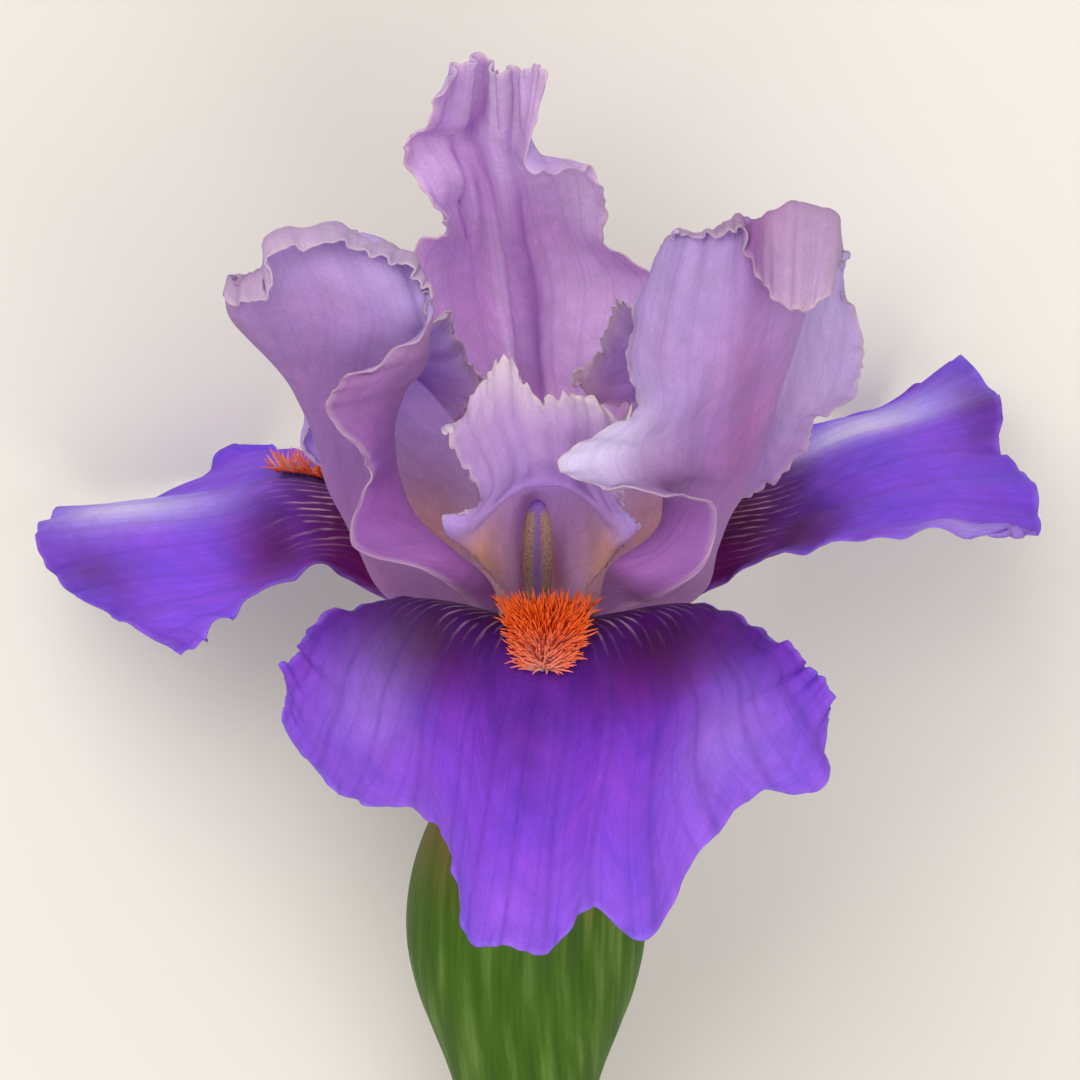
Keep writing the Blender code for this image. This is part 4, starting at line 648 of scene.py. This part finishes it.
def closed_rings(rings):
    """Points and faces of a solid that runs through equal rings and is capped at both ends."""
    sides = len(rings[0])
    ends = [np.mean(rings[0], axis=0), np.mean(rings[-1], axis=0)]
    points = np.concatenate([*rings, ends])
    faces = []
    for k in range(len(rings) - 1):
        for s in range(sides):
            a, b = k * sides + s, k * sides + (s + 1) % sides
            faces.append((a, b, b + sides))
            faces.append((a, b + sides, a + sides))
    first, last, end = len(points) - 2, len(points) - 1, (len(rings) - 1) * sides
    for s in range(sides):
        faces.append((first, (s + 1) % sides, s))
        faces.append((last, end + s, end + (s + 1) % sides))
    return points, faces


def joined(solids):
    """The points, faces and values of several solids in one, with 0 where a solid lacks a value."""
    faces = []
    start = 0
    for points, some_faces, _ in solids:
        faces.extend([tuple(i + start for i in face) for face in some_faces])
        start += len(points)
    values = {}
    for key in solids[-1][2]:
        values[key] = np.concatenate([own.get(key, np.zeros(len(points))) for points, _, own in solids])
    return np.concatenate([solid[0] for solid in solids]), faces, values


def place(points):
    """From millimetres of the nets to metres round the origin."""
    return (np.asarray(points, float) - np.array(PLACE)) * UNIT


def install(name, node, finish, points, faces, values):
    """Makes a piece from points in the nets' millimetres, with values for its points that its finish reads.
    It stands for this node and takes its finish's slot."""
    mesh = bpy.data.meshes.new(name)
    mesh.from_pydata(place(points).tolist(), [], faces)
    piece = bpy.data.objects.new(name, mesh)
    bpy.context.scene.collection.objects.link(piece)
    mesh.shade_smooth()
    mesh.materials.append(finish)
    for key, amounts in values.items():
        mesh.attributes.new(key, "FLOAT", "POINT").data.foreach_set("value", amounts.astype(np.float32))
    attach(piece, "root")
    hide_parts(node)


def srgb(code):
    """A hex colour as the linear colour that shaders take."""
    shares = [int(code[i:i + 2], 16) / 255 for i in (1, 3, 5)]
    return [s / 12.92 if s <= 0.04045 else ((s + 0.055) / 1.055) ** 2.4 for s in shares] + [1.0]


def add(tree, kind, settings=None, links=None, stops=(), out=0):
    """Adds a node and gives one of its outputs. Settings are its properties, links its inputs as values or
    other nodes' outputs, and stops the places and colours of a ramp."""
    node = tree.nodes.new("ShaderNode" + kind)
    for name, value in (settings or {}).items():
        setattr(node, name, value)
    for name, value in (links or {}).items():
        if isinstance(value, bpy.types.NodeSocket):
            tree.links.new(value, node.inputs[name])
        else:
            node.inputs[name].default_value = value
    for index, (at, colour) in enumerate(stops):
        ramp = node.color_ramp.elements
        element = ramp[index] if index < len(ramp) else ramp.new(at)
        element.position = at
        element.color = srgb(colour)
    return node.outputs[out] if node.outputs else None


def read(tree, key):
    """A value that the piece's points hold."""
    return add(tree, "Attribute", {"attribute_name": key}, out="Fac")


def blank_finish(name):
    """A new material and its empty tree."""
    made = bpy.data.materials.new(name)
    made.use_nodes = True
    made.node_tree.nodes.clear()
    return made, made.node_tree


MULTIPLY = {"operation": "MULTIPLY"}
RGBA = {"data_type": "RGBA"}
BANDS = {"bands_direction": "X"}
ONE_BAND = 2 * math.pi / 20  # the scale that draws one band to the unit
# Widths in millimetres.
CLOUD = 9.0
BLOTCH = 2.5
CELL = 0.3  # of the skin's cells, drawn coarse so that they show
RIB = 0.8  # from one rib of a stem to the next
THROUGH = 0.45  # the share of light that petal tissue lets through


def vein_lines(tree, along, across, vein_sets):
    """Veins from claw to outer edge. Each later set starts further out, between the ones before."""
    sheet = add(tree, "CombineXYZ", links={"X": across, "Y": along, "Z": 1.0})
    veins = 0.0
    for count, start, weight in vein_sets:
        at = add(tree, "Mapping", links={"Vector": sheet, "Scale": (count, 4.0, count)})
        lines = add(tree, "TexWave", BANDS, out="Fac", links={
            "Vector": at, "Scale": ONE_BAND, "Distortion": 5.0, "Detail": 2.0, "Detail Scale": 0.9})
        thin = add(tree, "Math", {"operation": "POWER"}, {0: lines, 1: 16.0})
        grown = add(tree, "MapRange", links={
            "Value": along, "From Min": start, "From Max": start + 0.2, "To Max": weight})
        thin = add(tree, "Math", MULTIPLY, {0: thin, 1: grown})
        veins = add(tree, "Math", {"operation": "MAXIMUM"}, {0: veins, 1: thin})
    return veins


def haft_lines(tree, across, lie_y, count):
    """Broken lines between the veins of a haft."""
    at = add(tree, "CombineXYZ", links={"X": across, "Y": lie_y})
    at = add(tree, "Mapping", links={"Vector": at, "Scale": (count, 1.0, 1.0)})
    lines = add(tree, "TexWave", BANDS, out="Fac", links={
        "Vector": at, "Scale": ONE_BAND, "Distortion": 6.0, "Detail": 3.0, "Detail Scale": 0.3})
    lines = add(tree, "MapRange", links={"Value": lines, "From Min": 0.72, "From Max": 0.95})
    gaps = add(tree, "Mapping", links={"Vector": at, "Scale": (0.9, 0.25, 1.0)})
    gaps = add(tree, "TexNoise", links={"Vector": gaps, "Scale": 1.0, "Detail": 2.0})
    gaps = add(tree, "MapRange", links={"Value": gaps, "From Min": 0.4, "From Max": 0.62})
    marks = add(tree, "Math", MULTIPLY, {0: lines, 1: read(tree, "marks")})
    return add(tree, "Math", MULTIPLY, {0: marks, 1: gaps})


def petal_tissue(name, inside, outside, margin, vein, pale, warm, deep_and_shade, haft, vein_sets, velvet):
    """Petal tissue: thin, soft and a little see-through, with a fine-grained skin, and veins that branch as
    they fan out. It looks brighter where light comes through it."""
    made, tree = blank_finish(name)
    along, across, face = read(tree, "along"), read(tree, "across"), read(tree, "outside")
    lie_y = read(tree, "lie_y")
    lie = add(tree, "CombineXYZ", links={"X": read(tree, "lie_x"), "Y": lie_y, "Z": face})
    cloud = add(tree, "TexNoise", links={"Vector": lie, "Scale": 1 / CLOUD, "Detail": 4.0})
    blotch = add(tree, "TexNoise", links={"Vector": lie, "Scale": 1 / BLOTCH, "Detail": 3.0})
    # Clouds shift the ramps, so that no colour ends in a line.
    shift = add(tree, "MapRange", links={"Value": cloud, "To Min": -0.09, "To Max": 0.09})
    run = add(tree, "Math", {"operation": "ADD"}, {0: along, 1: shift})
    inner = add(tree, "ValToRGB", links={"Fac": run}, stops=inside)
    outer = add(tree, "ValToRGB", links={"Fac": run}, stops=outside)
    fade = add(tree, "MapRange", links={"Value": blotch, "From Min": 0.3, "From Max": 0.6, "To Min": 0.25})
    veins = add(tree, "Math", MULTIPLY, {0: vein_lines(tree, along, across, vein_sets), 1: fade})
    # The deep and pale layers hold the petals' own dark and pale tints, and in places painted shade and
    # painted highlights.
    layers = [(face, outer), (read(tree, "deep_and_shade"), srgb(deep_and_shade)), (read(tree, "warm"), srgb(warm)),
              (read(tree, "pale"), srgb(pale)), (veins, srgb(vein))]
    for count, tint in haft:
        layers.append((haft_lines(tree, across, lie_y, count), srgb(tint)))
    rim = add(tree, "MapRange", links={"Value": read(tree, "edge"), "From Min": 1.0, "From Max": 0.0,
                                       "To Max": 0.6})
    layers.append((add(tree, "Math", MULTIPLY, {0: rim, 1: fade}), srgb(margin)))
    colour = inner
    for share, tint in layers:
        colour = add(tree, "Mix", RGBA, {0: share, 6: colour, 7: tint}, out=2)
    cells = add(tree, "TexVoronoi", links={"Vector": lie, "Scale": 1 / CELL})
    tone = add(tree, "MapRange", links={"Value": blotch, "From Min": 0.3, "From Max": 0.7,
                                        "To Min": 0.9, "To Max": 1.06})
    tone = add(tree, "Math", {"operation": "MULTIPLY_ADD"}, {0: cells, 1: 0.12, 2: tone})
    hue = add(tree, "MapRange", links={"Value": cloud, "From Min": 0.3, "From Max": 0.7,
                                       "To Min": 0.488, "To Max": 0.512})
    colour = add(tree, "HueSaturation", links={"Hue": hue, "Value": tone, "Color": colour})
    height = add(tree, "Math", {"operation": "MULTIPLY_ADD"}, {0: blotch, 1: 5.0, 2: cells})
    bump = add(tree, "Bump", links={"Height": height, "Strength": 0.35, "Distance": 0.00015})
    rough = add(tree, "MapRange", links={"Value": blotch, "From Min": 0.3, "From Max": 0.7,
                                         "To Min": 0.6, "To Max": 0.46})
    skin = add(tree, "BsdfPrincipled", links={
        "Base Color": colour, "Roughness": rough, "Normal": bump, "IOR": 1.38, "Specular IOR Level": 0.25,
        "Sheen Weight": velvet, "Sheen Roughness": 0.45})
    glow = add(tree, "BsdfTranslucent", links={"Color": colour, "Normal": bump})
    both = add(tree, "MixShader", links={0: THROUGH, 1: skin, 2: glow})
    add(tree, "OutputMaterial", links={"Surface": both})
    return made


def green_tissue(name, light, dark, bloom, dry):
    """Stem and bract skin: waxy green with fine ribs and a bluish bloom, papery brown where it has dried."""
    made, tree = blank_finish(name)
    lie = add(tree, "CombineXYZ", links={"X": read(tree, "lie_x"), "Y": read(tree, "lie_y")})
    ribs = add(tree, "TexWave", BANDS, out="Fac", links={
        "Vector": lie, "Scale": ONE_BAND / RIB, "Distortion": 2.5, "Detail": 2.0, "Detail Scale": 0.1})
    streaks = add(tree, "Mapping", links={"Vector": lie, "Scale": (0.5, 0.05, 1.0)})
    streaks = add(tree, "TexNoise", links={"Vector": streaks, "Scale": 1.0, "Detail": 4.0})
    colour = add(tree, "ValToRGB", links={"Fac": streaks}, stops=[(0.25, dark), (0.5, light), (0.75, bloom)])
    shade = add(tree, "MapRange", links={"Value": ribs, "To Min": 0.95, "To Max": 1.04})
    colour = add(tree, "HueSaturation", links={"Value": shade, "Color": colour})
    dryness = add(tree, "Math", MULTIPLY, {0: read(tree, "warm"), 1: streaks})
    dryness = add(tree, "MapRange", links={"Value": dryness, "From Min": 0.15, "From Max": 0.5})
    colour = add(tree, "Mix", RGBA, {0: dryness, 6: colour, 7: srgb(dry)}, out=2)
    bump = add(tree, "Bump", links={"Height": ribs, "Strength": 0.2, "Distance": 0.0001})
    skin = add(tree, "BsdfPrincipled", links={
        "Base Color": colour, "Roughness": 0.55, "Normal": bump, "IOR": 1.38, "Specular IOR Level": 0.25,
        "Subsurface Weight": 0.1, "Subsurface Radius": (0.6, 1.0, 0.3), "Subsurface Scale": 0.001})
    add(tree, "OutputMaterial", links={"Surface": skin})
    return made


def anther_finish():
    """Pollen sacs: dry and matt, grainy with pollen, with a smooth groove between them."""
    made, tree = blank_finish("pollen_sac")
    # Grains are drawn 0.3 mm wide so that they show.
    grain = add(tree, "TexNoise", links={"Vector": add(tree, "NewGeometry"), "Scale": 3500.0, "Detail": 3.0})
    sac = add(tree, "ValToRGB", links={"Fac": grain},
              stops=[(0.3, "#8a6656"), (0.5, "#a98271"), (0.7, "#c0a08e")])
    colour = add(tree, "Mix", RGBA, {0: read(tree, "groove"), 6: sac, 7: srgb("#8a62b4")}, out=2)
    bump = add(tree, "Bump", links={"Height": grain, "Strength": 0.6, "Distance": 0.0002})
    skin = add(tree, "BsdfPrincipled", links={"Base Color": colour, "Roughness": 0.85, "Normal": bump})
    add(tree, "OutputMaterial", links={"Surface": skin})
    return made


def beard_finish():
    """Beard hairs: soft, slightly glassy threads, brightest at their tips, and whitish at a beard's end."""
    made, tree = blank_finish("beard_hair")
    tip = add(tree, "ValToRGB", links={"Fac": read(tree, "tip")},
              stops=[(0.0, "#b03408"), (0.4, "#d8420a"), (1.0, "#f4600e")])
    colour = add(tree, "Mix", RGBA, {0: read(tree, "pale"), 6: tip, 7: srgb("#f3c9c0")}, out=2)
    skin = add(tree, "BsdfPrincipled", links={
        "Base Color": colour, "Roughness": 0.45, "IOR": 1.4, "Subsurface Weight": 0.3,
        "Subsurface Radius": (1.0, 0.4, 0.1), "Subsurface Scale": 0.0006})
    add(tree, "OutputMaterial", links={"Surface": skin})
    return made


# Colours: ramps from claw to outer edge on the inner and the outer face, the margin, the veins and the tints
# of the patches. The haft's pale lines are given as how many and their colour, and each set of veins as how
# many, where they start and how strong they are.
FALL_COLOURS = dict(
    inside=[(0.0, "#eadfe6"), (0.28, "#8a4a80"), (0.42, "#4c0c54"), (0.54, "#661f9c"), (0.68, "#843acc"),
            (0.85, "#9852e2"), (1.0, "#a268ec")],
    outside=[(0.0, "#cfc8a0"), (0.35, "#8d6a9e"), (0.7, "#a488dc"), (1.0, "#a07ae4")],
    margin="#ae84f0", vein="#3f1488", pale="#ece6fc", warm="#8a1c86", deep_and_shade="#440448",
    haft=[(38.0, "#f0ccdc")], vein_sets=[(13, 0.0, 0.3), (25, 0.4, 0.18), (57, 0.6, 0.1)], velvet=0.06)
# The side falls keep the pale tint, which paints the highlight along their ridges.
SIDE_FALL_COLOURS = FALL_COLOURS | dict(
    inside=[(0.0, "#eadfe6"), (0.28, "#8a4a80"), (0.4, "#6a1458"), (0.49, "#7c34b8"), (0.58, "#9858f4"),
            (0.85, "#9e60f6"), (1.0, "#8c54e0")],
    deep_and_shade="#5e0848", haft=[(26.0, "#eebcd0")], vein_sets=[(9, 0.0, 0.2), (31, 0.4, 0.16), (57, 0.6, 0.1)])
# Their deep tint also paints shade in the right standard's pocket, and their pale tint its flap's highlight.
STANDARD_COLOURS = dict(
    inside=[(0.0, "#c48cc6"), (0.12, "#b074be"), (0.4, "#9e64b0"), (0.7, "#b07eb4"), (1.0, "#d0b2d0")],
    outside=[(0.0, "#d4bcb0"), (0.12, "#c294cc"), (0.5, "#b98ed0"), (1.0, "#c8b0e4")],
    margin="#e2ccd0", vein="#8a4fae", pale="#e8e0f6", warm="#b670b0", deep_and_shade="#9448a4", haft=[],
    vein_sets=[(9, 0.0, 0.16), (23, 0.25, 0.12), (71, 0.45, 0.08)], velvet=0.1)
# The back standard's colours are paler than the other standards': painted light for its shaded place between
# them.
BACK_COLOURS = dict(
    inside=[(0.0, "#e8d0b4"), (0.12, "#e4bcec"), (0.4, "#f0c8f6"), (0.7, "#eccaf2"), (1.0, "#d4b6dc")],
    outside=[(0.0, "#d8cf9c"), (0.15, "#c4a0cc"), (0.5, "#c8a0dc"), (1.0, "#d0b8e8")],
    margin="#f0dce0", vein="#a060c4", pale="#f3e4fa", warm="#d89c7c", deep_and_shade="#b566cc", haft=[],
    vein_sets=[(9, 0.0, 0.2), (23, 0.25, 0.14), (61, 0.45, 0.1)], velvet=0.1)
# The pale tint brightens the shaded side arms and the deep tint shades the hollow under the front crest.
STYLE_COLOURS = dict(
    inside=[(0.0, "#eed8e6"), (0.4, "#cda8e0"), (0.75, "#c2a6da"), (1.0, "#d8cce2")],
    outside=[(0.0, "#f0c4c8"), (0.25, "#ecc2ec"), (0.5, "#dcb2fa"), (0.68, "#b088c8"), (0.85, "#c6a0d4"),
             (1.0, "#e0ccdc")],
    margin="#f0e0d4", vein="#9468b4", pale="#dcc0ff", warm="#ffd6be", deep_and_shade="#a068d8", haft=[],
    vein_sets=[(15, 0.0, 0.12), (37, 0.4, 0.1), (75, 0.65, 0.12)], velvet=0.1)
COLOURS = {
    "fall_front": FALL_COLOURS,
    "fall_left": SIDE_FALL_COLOURS,
    "fall_right": SIDE_FALL_COLOURS,
    "standard_left": STANDARD_COLOURS,
    "standard_right": STANDARD_COLOURS,
    "standard_back": BACK_COLOURS,
}

# Soft patches of each sheet: middle along and across, reach along and across, strength.
# Some deep patches are painted shade and some pale patches painted highlights or painted light; notes below
# say which.
PATCHES = {
    "fall_front": {
        # The last deep patch, on the centre groove, is painted shade.
        "deep_and_shade": [(0.42, 0.5, 0.12, 0.6, 0.95), (0.54, 0.22, 0.09, 0.16, 0.95),
                 (0.55, 0.78, 0.09, 0.18, 0.95), (0.66, 0.48, 0.08, 0.08, 0.3)],
        "warm": [(0.6, 0.27, 0.05, 0.1, 0.2), (0.61, 0.72, 0.05, 0.14, 0.22)],
        "marks": [(0.46, 0.25, 0.05, 0.14, 0.5), (0.47, 0.75, 0.05, 0.14, 0.5)],
        "pale": [(0.72, 0.16, 0.14, 0.1, 0.15), (0.8, 0.86, 0.14, 0.08, 0.15)],
    },
    "fall_left": {
        "deep_and_shade": [(0.38, 0.7, 0.14, 0.6, 0.95), (0.57, 0.72, 0.08, 0.24, 0.8), (0.9, 0.68, 0.08, 0.1, 0.45)],
        "warm": [(0.42, 0.95, 0.12, 0.2, 0.6), (0.63, 0.8, 0.05, 0.15, 0.35)],
        # The pale patch along the ridge is a painted highlight of the sky light there.
        "pale": [(0.82, 0.44, 0.15, 0.08, 0.8)],
        "marks": [(0.47, 0.55, 0.06, 0.24, 0.85)],
    },
    "fall_right": {
        "deep_and_shade": [(0.38, 0.3, 0.13, 0.6, 0.95), (0.54, 0.16, 0.07, 0.2, 0.8), (0.96, 0.56, 0.06, 0.16, 0.45)],
        "warm": [(0.4, 0.05, 0.12, 0.2, 0.6), (0.6, 0.15, 0.05, 0.15, 0.35), (0.85, 0.0, 0.3, 0.05, 0.2)],
        # The first pale patch, along the ridge, is a painted highlight of the sky light there.
        "pale": [(0.71, 0.67, 0.19, 0.09, 0.85), (0.9, 0.03, 0.1, 0.05, 0.35)],
        "marks": [(0.45, 0.42, 0.05, 0.24, 0.85)],
    },
    "standard_left": {
        "deep_and_shade": [(0.35, 0.5, 0.3, 0.16, 0.5), (0.3, 0.85, 0.2, 0.16, 0.35)],
        "pale": [(1.0, 0.6, 0.1, 0.5, 0.3)],
        "warm": [(0.05, 0.4, 0.2, 0.4, 0.6), (0.8, 0.3, 0.15, 0.2, 0.35)],
    },
    "standard_right": {
        # The second and third deep patches darken the pocket under the tongue: painted shade.
        "deep_and_shade": [(0.45, 0.5, 0.3, 0.1, 0.3), (0.9, 0.48, 0.08, 0.05, 0.5), (0.97, 0.46, 0.06, 0.07, 0.7)],
        # The first pale patch whitens the flap that faces up: a painted highlight.
        "pale": [(0.6, 0.03, 0.12, 0.16, 0.95), (0.8, 0.88, 0.2, 0.16, 0.3)],
        "warm": [(0.05, 0.6, 0.2, 0.4, 0.6), (0.65, 0.5, 0.3, 0.14, 0.55), (0.45, 0.25, 0.15, 0.2, 0.4)],
    },
    "standard_back": {
        # The deep patches darken the midrib and the folds: painted shade. The pale patches are painted
        # light.
        "deep_and_shade": [(0.42, 0.48, 0.2, 0.05, 0.55), (0.7, 0.62, 0.06, 0.1, 0.35), (0.82, 0.62, 0.1, 0.03, 0.5),
                 (0.86, 0.84, 0.12, 0.12, 0.35), (0.42, 0.75, 0.12, 0.12, 0.25)],
        "pale": [(0.42, 0.6, 0.2, 0.03, 0.5), (0.66, 0.16, 0.12, 0.16, 0.8), (0.45, 0.25, 0.14, 0.2, 0.4)],
    },
    "style_front": {
        # The deep patch darkens the hollow under the crest: painted shade.
        "deep_and_shade": [(0.55, 0.5, 0.1, 0.16, 0.5)],
        "warm": [(0.44, 0.08, 0.13, 0.2, 1.0), (0.44, 0.92, 0.13, 0.2, 1.0), (0.15, 0.5, 0.12, 0.6, 0.3)],
        "pale": [(0.62, 0.04, 0.08, 0.1, 0.7), (0.62, 0.96, 0.08, 0.1, 0.7)],
    },
    "style_side": {
        # The broad pale patch is painted light that brightens the side arms where the standards shade them.
        "pale": [(0.65, 0.5, 0.3, 0.8, 0.75)],
        "warm": [(0.32, 0.08, 0.16, 0.24, 0.9), (0.32, 0.92, 0.16, 0.24, 0.9), (0.1, 0.5, 0.12, 0.6, 0.4),
                 (0.9, 0.05, 0.1, 0.08, 0.4), (0.9, 0.95, 0.1, 0.08, 0.4)],
    },
    "bract": {
        "warm": [(1.0, 0.5, 0.34, 2.0, 1.0), (0.6, 0.0, 2.0, 0.08, 0.7), (0.6, 1.0, 2.0, 0.08, 0.7)],
    },
}


def stem_piece(finish):
    """The stem, the ovary and the tube, turned smoothly and flat where they would reach below the table."""
    sides, steps, smoothing = 64, 150, 7
    girth = 4.5  # a middle radius, which spaces the ribs
    profile = np.array(STEM_PROFILE, float)
    up = np.linspace(profile[0, 0], profile[-1, 0], steps)
    radius = np.interp(up, profile[:, 0], profile[:, 1])
    ends = smoothing // 2
    radius[ends:-ends] = np.convolve(radius, np.ones(smoothing) / smoothing, "valid")
    turn = 2 * math.pi * (np.arange(sides) + 0.5) / sides
    rings = []
    for height, size in zip(up, radius):
        ring = ring_round_axis(height, size, turn + math.pi)
        ring[:, 0] += lean(height)
        ring[:, 2] = np.maximum(ring[:, 2], 0.0)
        rings.append(ring)
    points, faces = closed_rings(rings)
    values = {
        "lie_x": np.concatenate([np.tile(turn * girth, steps), [0, 0]]),
        "lie_y": np.concatenate([np.repeat(up, sides), [up[0], up[-1]]]),
        "warm": np.zeros(len(points)),
    }
    install("stem_and_ovary", "stem", finish, points, faces, values)


def bract_piece(which, finish):
    """One green bract, wrapped round the ovary."""
    solid = tissue(bract_sheet, which, "bract", PATCHES["bract"], BRACT_TISSUE, BRACT_MARGIN)
    install("bract_" + which + "_skin", "bract_" + which, finish, *solid)


def petal_piece(name, finish):
    """One petal as thin tissue with its frilled margin, seated on the tube by its claw."""
    rows, columns = FINE_GRID[name]
    points, faces, values = tissue(petal_sheet, name, name, PATCHES[name])
    seat(points, 0, columns)
    seat(points, rows * columns, columns)
    install(name + "_tissue", name, finish, points, faces, values)


def style_piece(finish):
    """The style's column and its three crested arms."""
    turn = 2 * math.pi * np.arange(32) / 32
    rings = [ring_round_axis(up, radius, turn) for up, radius in STYLE_COLUMN]
    solids = [(*closed_rings(rings), {})]
    for arm in STYLE_ARMS:
        patches = PATCHES["style_front" if arm == "front" else "style_side"]
        solids.append(tissue(style_sheet, arm, "style", patches))
    install("style_arms", "style", finish, *joined(solids))


def stamen_piece(which, finish):
    """A filament with its two-lobed anther."""
    steps, sides = 90, 28
    shift = FRONT_STAMEN_SHIFT if which == "front" else 0.0
    at = np.array([(out, shift, up) for out, up in STAMEN_PATH])
    share = np.linspace(0, 1, steps)
    path = to_table(spline_weights(len(at), share) @ at, STAMENS[which])
    widths = np.interp(share * (len(at) - 1), np.arange(len(at)), STAMEN_HALF_WIDTHS)
    outwards = to_table(np.array([(1.0, 0.0, 0.0)]), STAMENS[which])[0] - to_table(np.zeros((1, 3)), 0.0)[0]
    tangent = unit(np.gradient(path, axis=0))
    aside = unit(np.cross(tangent, outwards))
    front = np.cross(aside, tangent)
    turn = 2 * math.pi * (np.arange(sides) + 0.5) / sides
    rings = []
    groove = []
    for k, width in enumerate(widths):
        lobed = float(np.clip((width - FILAMENT_HALF_WIDTH) / 0.4, 0, 1))
        depth = min(width, 0.55 + 0.25 * width)
        cut = np.exp(-(np.sin(turn) / 0.25) ** 2) * lobed
        x = width * np.sin(turn)
        y = depth * np.cos(turn) * (1 - 0.45 * cut)
        rings.append(path[k] + x[:, None] * aside[k] + y[:, None] * front[k])
        groove.append(cut + 1 - lobed)
    values = {"groove": np.concatenate([*groove, [1.0, 1.0]])}
    install("anther_" + which, "stamen_" + which, finish, *closed_rings(rings), values)


def beard_strip(which):
    """The strip of tissue that the hairs grow from."""
    rows, columns = 40, 12
    share = np.linspace(0, 1, rows)
    lines = []
    for sway in np.linspace(-1, 1, columns):
        point, out, _, _ = beard_frame(which, share, np.full(rows, sway))
        lines.append(point + out * (HAIR_LIFT + STRIP_LIFT))
    middle = np.stack(lines, axis=1)
    return sheet_points(middle, STRIP, STRIP_MARGIN), sheet_faces(middle), {}


def beard_piece(which, finish):
    """A strip of tissue on a fall, dense with curved hairs that draw together and pale towards its end."""
    hairs, length = BEARDS[which][6:]
    solids = [beard_strip(which)]
    draw = np.random.default_rng(len(which) + 7)
    golden = 0.618034
    sway = 2 * ((np.arange(hairs) * golden) % 1.0) - 1
    at = np.linspace(0.0, 1.0, hairs)
    far = np.clip((at - 0.6) / 0.4, 0, 1)
    point, out, ahead, aside = beard_frame(which, at, 0.95 * sway * (1 - 0.5 * far ** 2))
    tall = length * draw.uniform(0.65, 1.08, hairs) * (1 - 0.25 * at)
    spread = sway * (1.1 + 0.9 * at) + draw.uniform(-0.3, 0.3, hairs)
    tilt = draw.uniform(-0.4, 0.4, hairs) + 0.5 * at - 0.1
    bend = draw.uniform(-0.25, 0.25, (hairs, 2))
    way = unit(out + aside * spread[:, None] + ahead * tilt[:, None])
    flat = unit(np.cross(way, (0.3, 0.5, 0.8)))
    other = np.cross(way, flat)
    curl = (flat * bend[:, :1] + other * bend[:, 1:]) * tall[:, None]
    pale = far * (1 - 0.7 * np.abs(sway))
    levels = np.linspace(0, 1, HAIR_RINGS)
    tip = np.concatenate([np.repeat(levels, HAIR_SIDES), [0.0, 1.0]])
    turn = 2 * math.pi * np.arange(HAIR_SIDES)[:, None] / HAIR_SIDES
    for k in range(hairs):
        rings = []
        for level in levels:
            centre = point[k] + out[k] * HAIR_LIFT + way[k] * tall[k] * level + curl[k] * level ** 2
            radius = HAIR_GROWTH * (1 - level) ** 0.5 + HAIR_TIP_RADIUS
            rings.append(centre + radius * (np.cos(turn) * flat[k] + np.sin(turn) * other[k]))
        solids.append((*closed_rings(rings), {"tip": tip, "pale": pale[k] * (1 - 0.8 * tip)}))
    install("beard_" + which + "_hairs", "beard_" + which, finish, *joined(solids))


def table_top():
    """A plain pale table of matt paper."""
    bpy.ops.mesh.primitive_plane_add(size=3.0, location=(0, 0, 0))
    floor = bpy.context.object
    floor.name = "table_top"
    made = bpy.data.materials.new("matt_paper")
    made.use_nodes = True
    shader = made.node_tree.nodes["Principled BSDF"]
    shader.inputs["Base Color"].default_value = srgb("#d9d4cb")
    shader.inputs["Roughness"].default_value = 0.9
    floor.data.materials.append(made)


def soft_light(name, location, size, power):
    """A square soft light that faces the flower."""
    lamp = bpy.data.lights.new(name, "AREA")
    lamp.shape = "SQUARE"
    lamp.size = size
    lamp.energy = power
    made = bpy.data.objects.new(name, lamp)
    made.location = location
    way = np.array((0.0, 0.0, 0.04)) - np.array(location)
    flat = math.hypot(way[0], way[1])
    made.rotation_euler = (math.atan2(flat, -way[2]), 0.0, math.atan2(way[1], way[0]) - math.pi / 2)
    bpy.context.scene.collection.objects.link(made)


def studio():
    """Soft light from beyond the standards and above, a weak fill, and a pale room."""
    soft_light("window", (-0.3, 0.45, 1.05), 0.8, 7.4)
    soft_light("fill", (0.35, -0.5, 1.0), 0.9, 6.0)
    room = bpy.data.worlds.new("room")
    room.use_nodes = True
    walls = room.node_tree.nodes["Background"].inputs
    walls["Color"].default_value = srgb("#f2f0ee")
    walls["Strength"].default_value = 0.72
    bpy.context.scene.world = room
    bpy.context.scene.view_settings.view_transform = "Standard"


def camera():
    """Straight above the flower, far enough off to look flat."""
    shown_width = 124.2 * UNIT
    distance = 0.9
    sensor = 36.0
    made = bpy.data.objects.new("camera", bpy.data.cameras.new("camera"))
    bpy.context.scene.collection.objects.link(made)
    made.data.sensor_width = sensor
    made.data.lens = sensor * distance / shown_width
    made.location = (*(place((-0.6, 11.5, 0.0))[:2]), distance + 0.07)
    bpy.context.scene.camera = made


def main():
    """Makes every piece, the table, the light and the camera."""
    stem_piece(green_tissue("stem_skin", "#47661a", "#3b5612", "#5b7830", "#8a6a3a"))
    for which in BRACTS:
        bract_piece(which, green_tissue("bract_skin_" + which, "#3e6010", "#304a08", "#64803a", "#86643a"))
    for name, colours in COLOURS.items():
        petal_piece(name, petal_tissue(name + "_skin", **colours))
    style_piece(petal_tissue("style_skin", **STYLE_COLOURS))
    sac = anther_finish()
    for which in STAMENS:
        stamen_piece(which, sac)
    hair = beard_finish()
    for which in BEARDS:
        beard_piece(which, hair)
    table_top()
    studio()
    camera()


main()
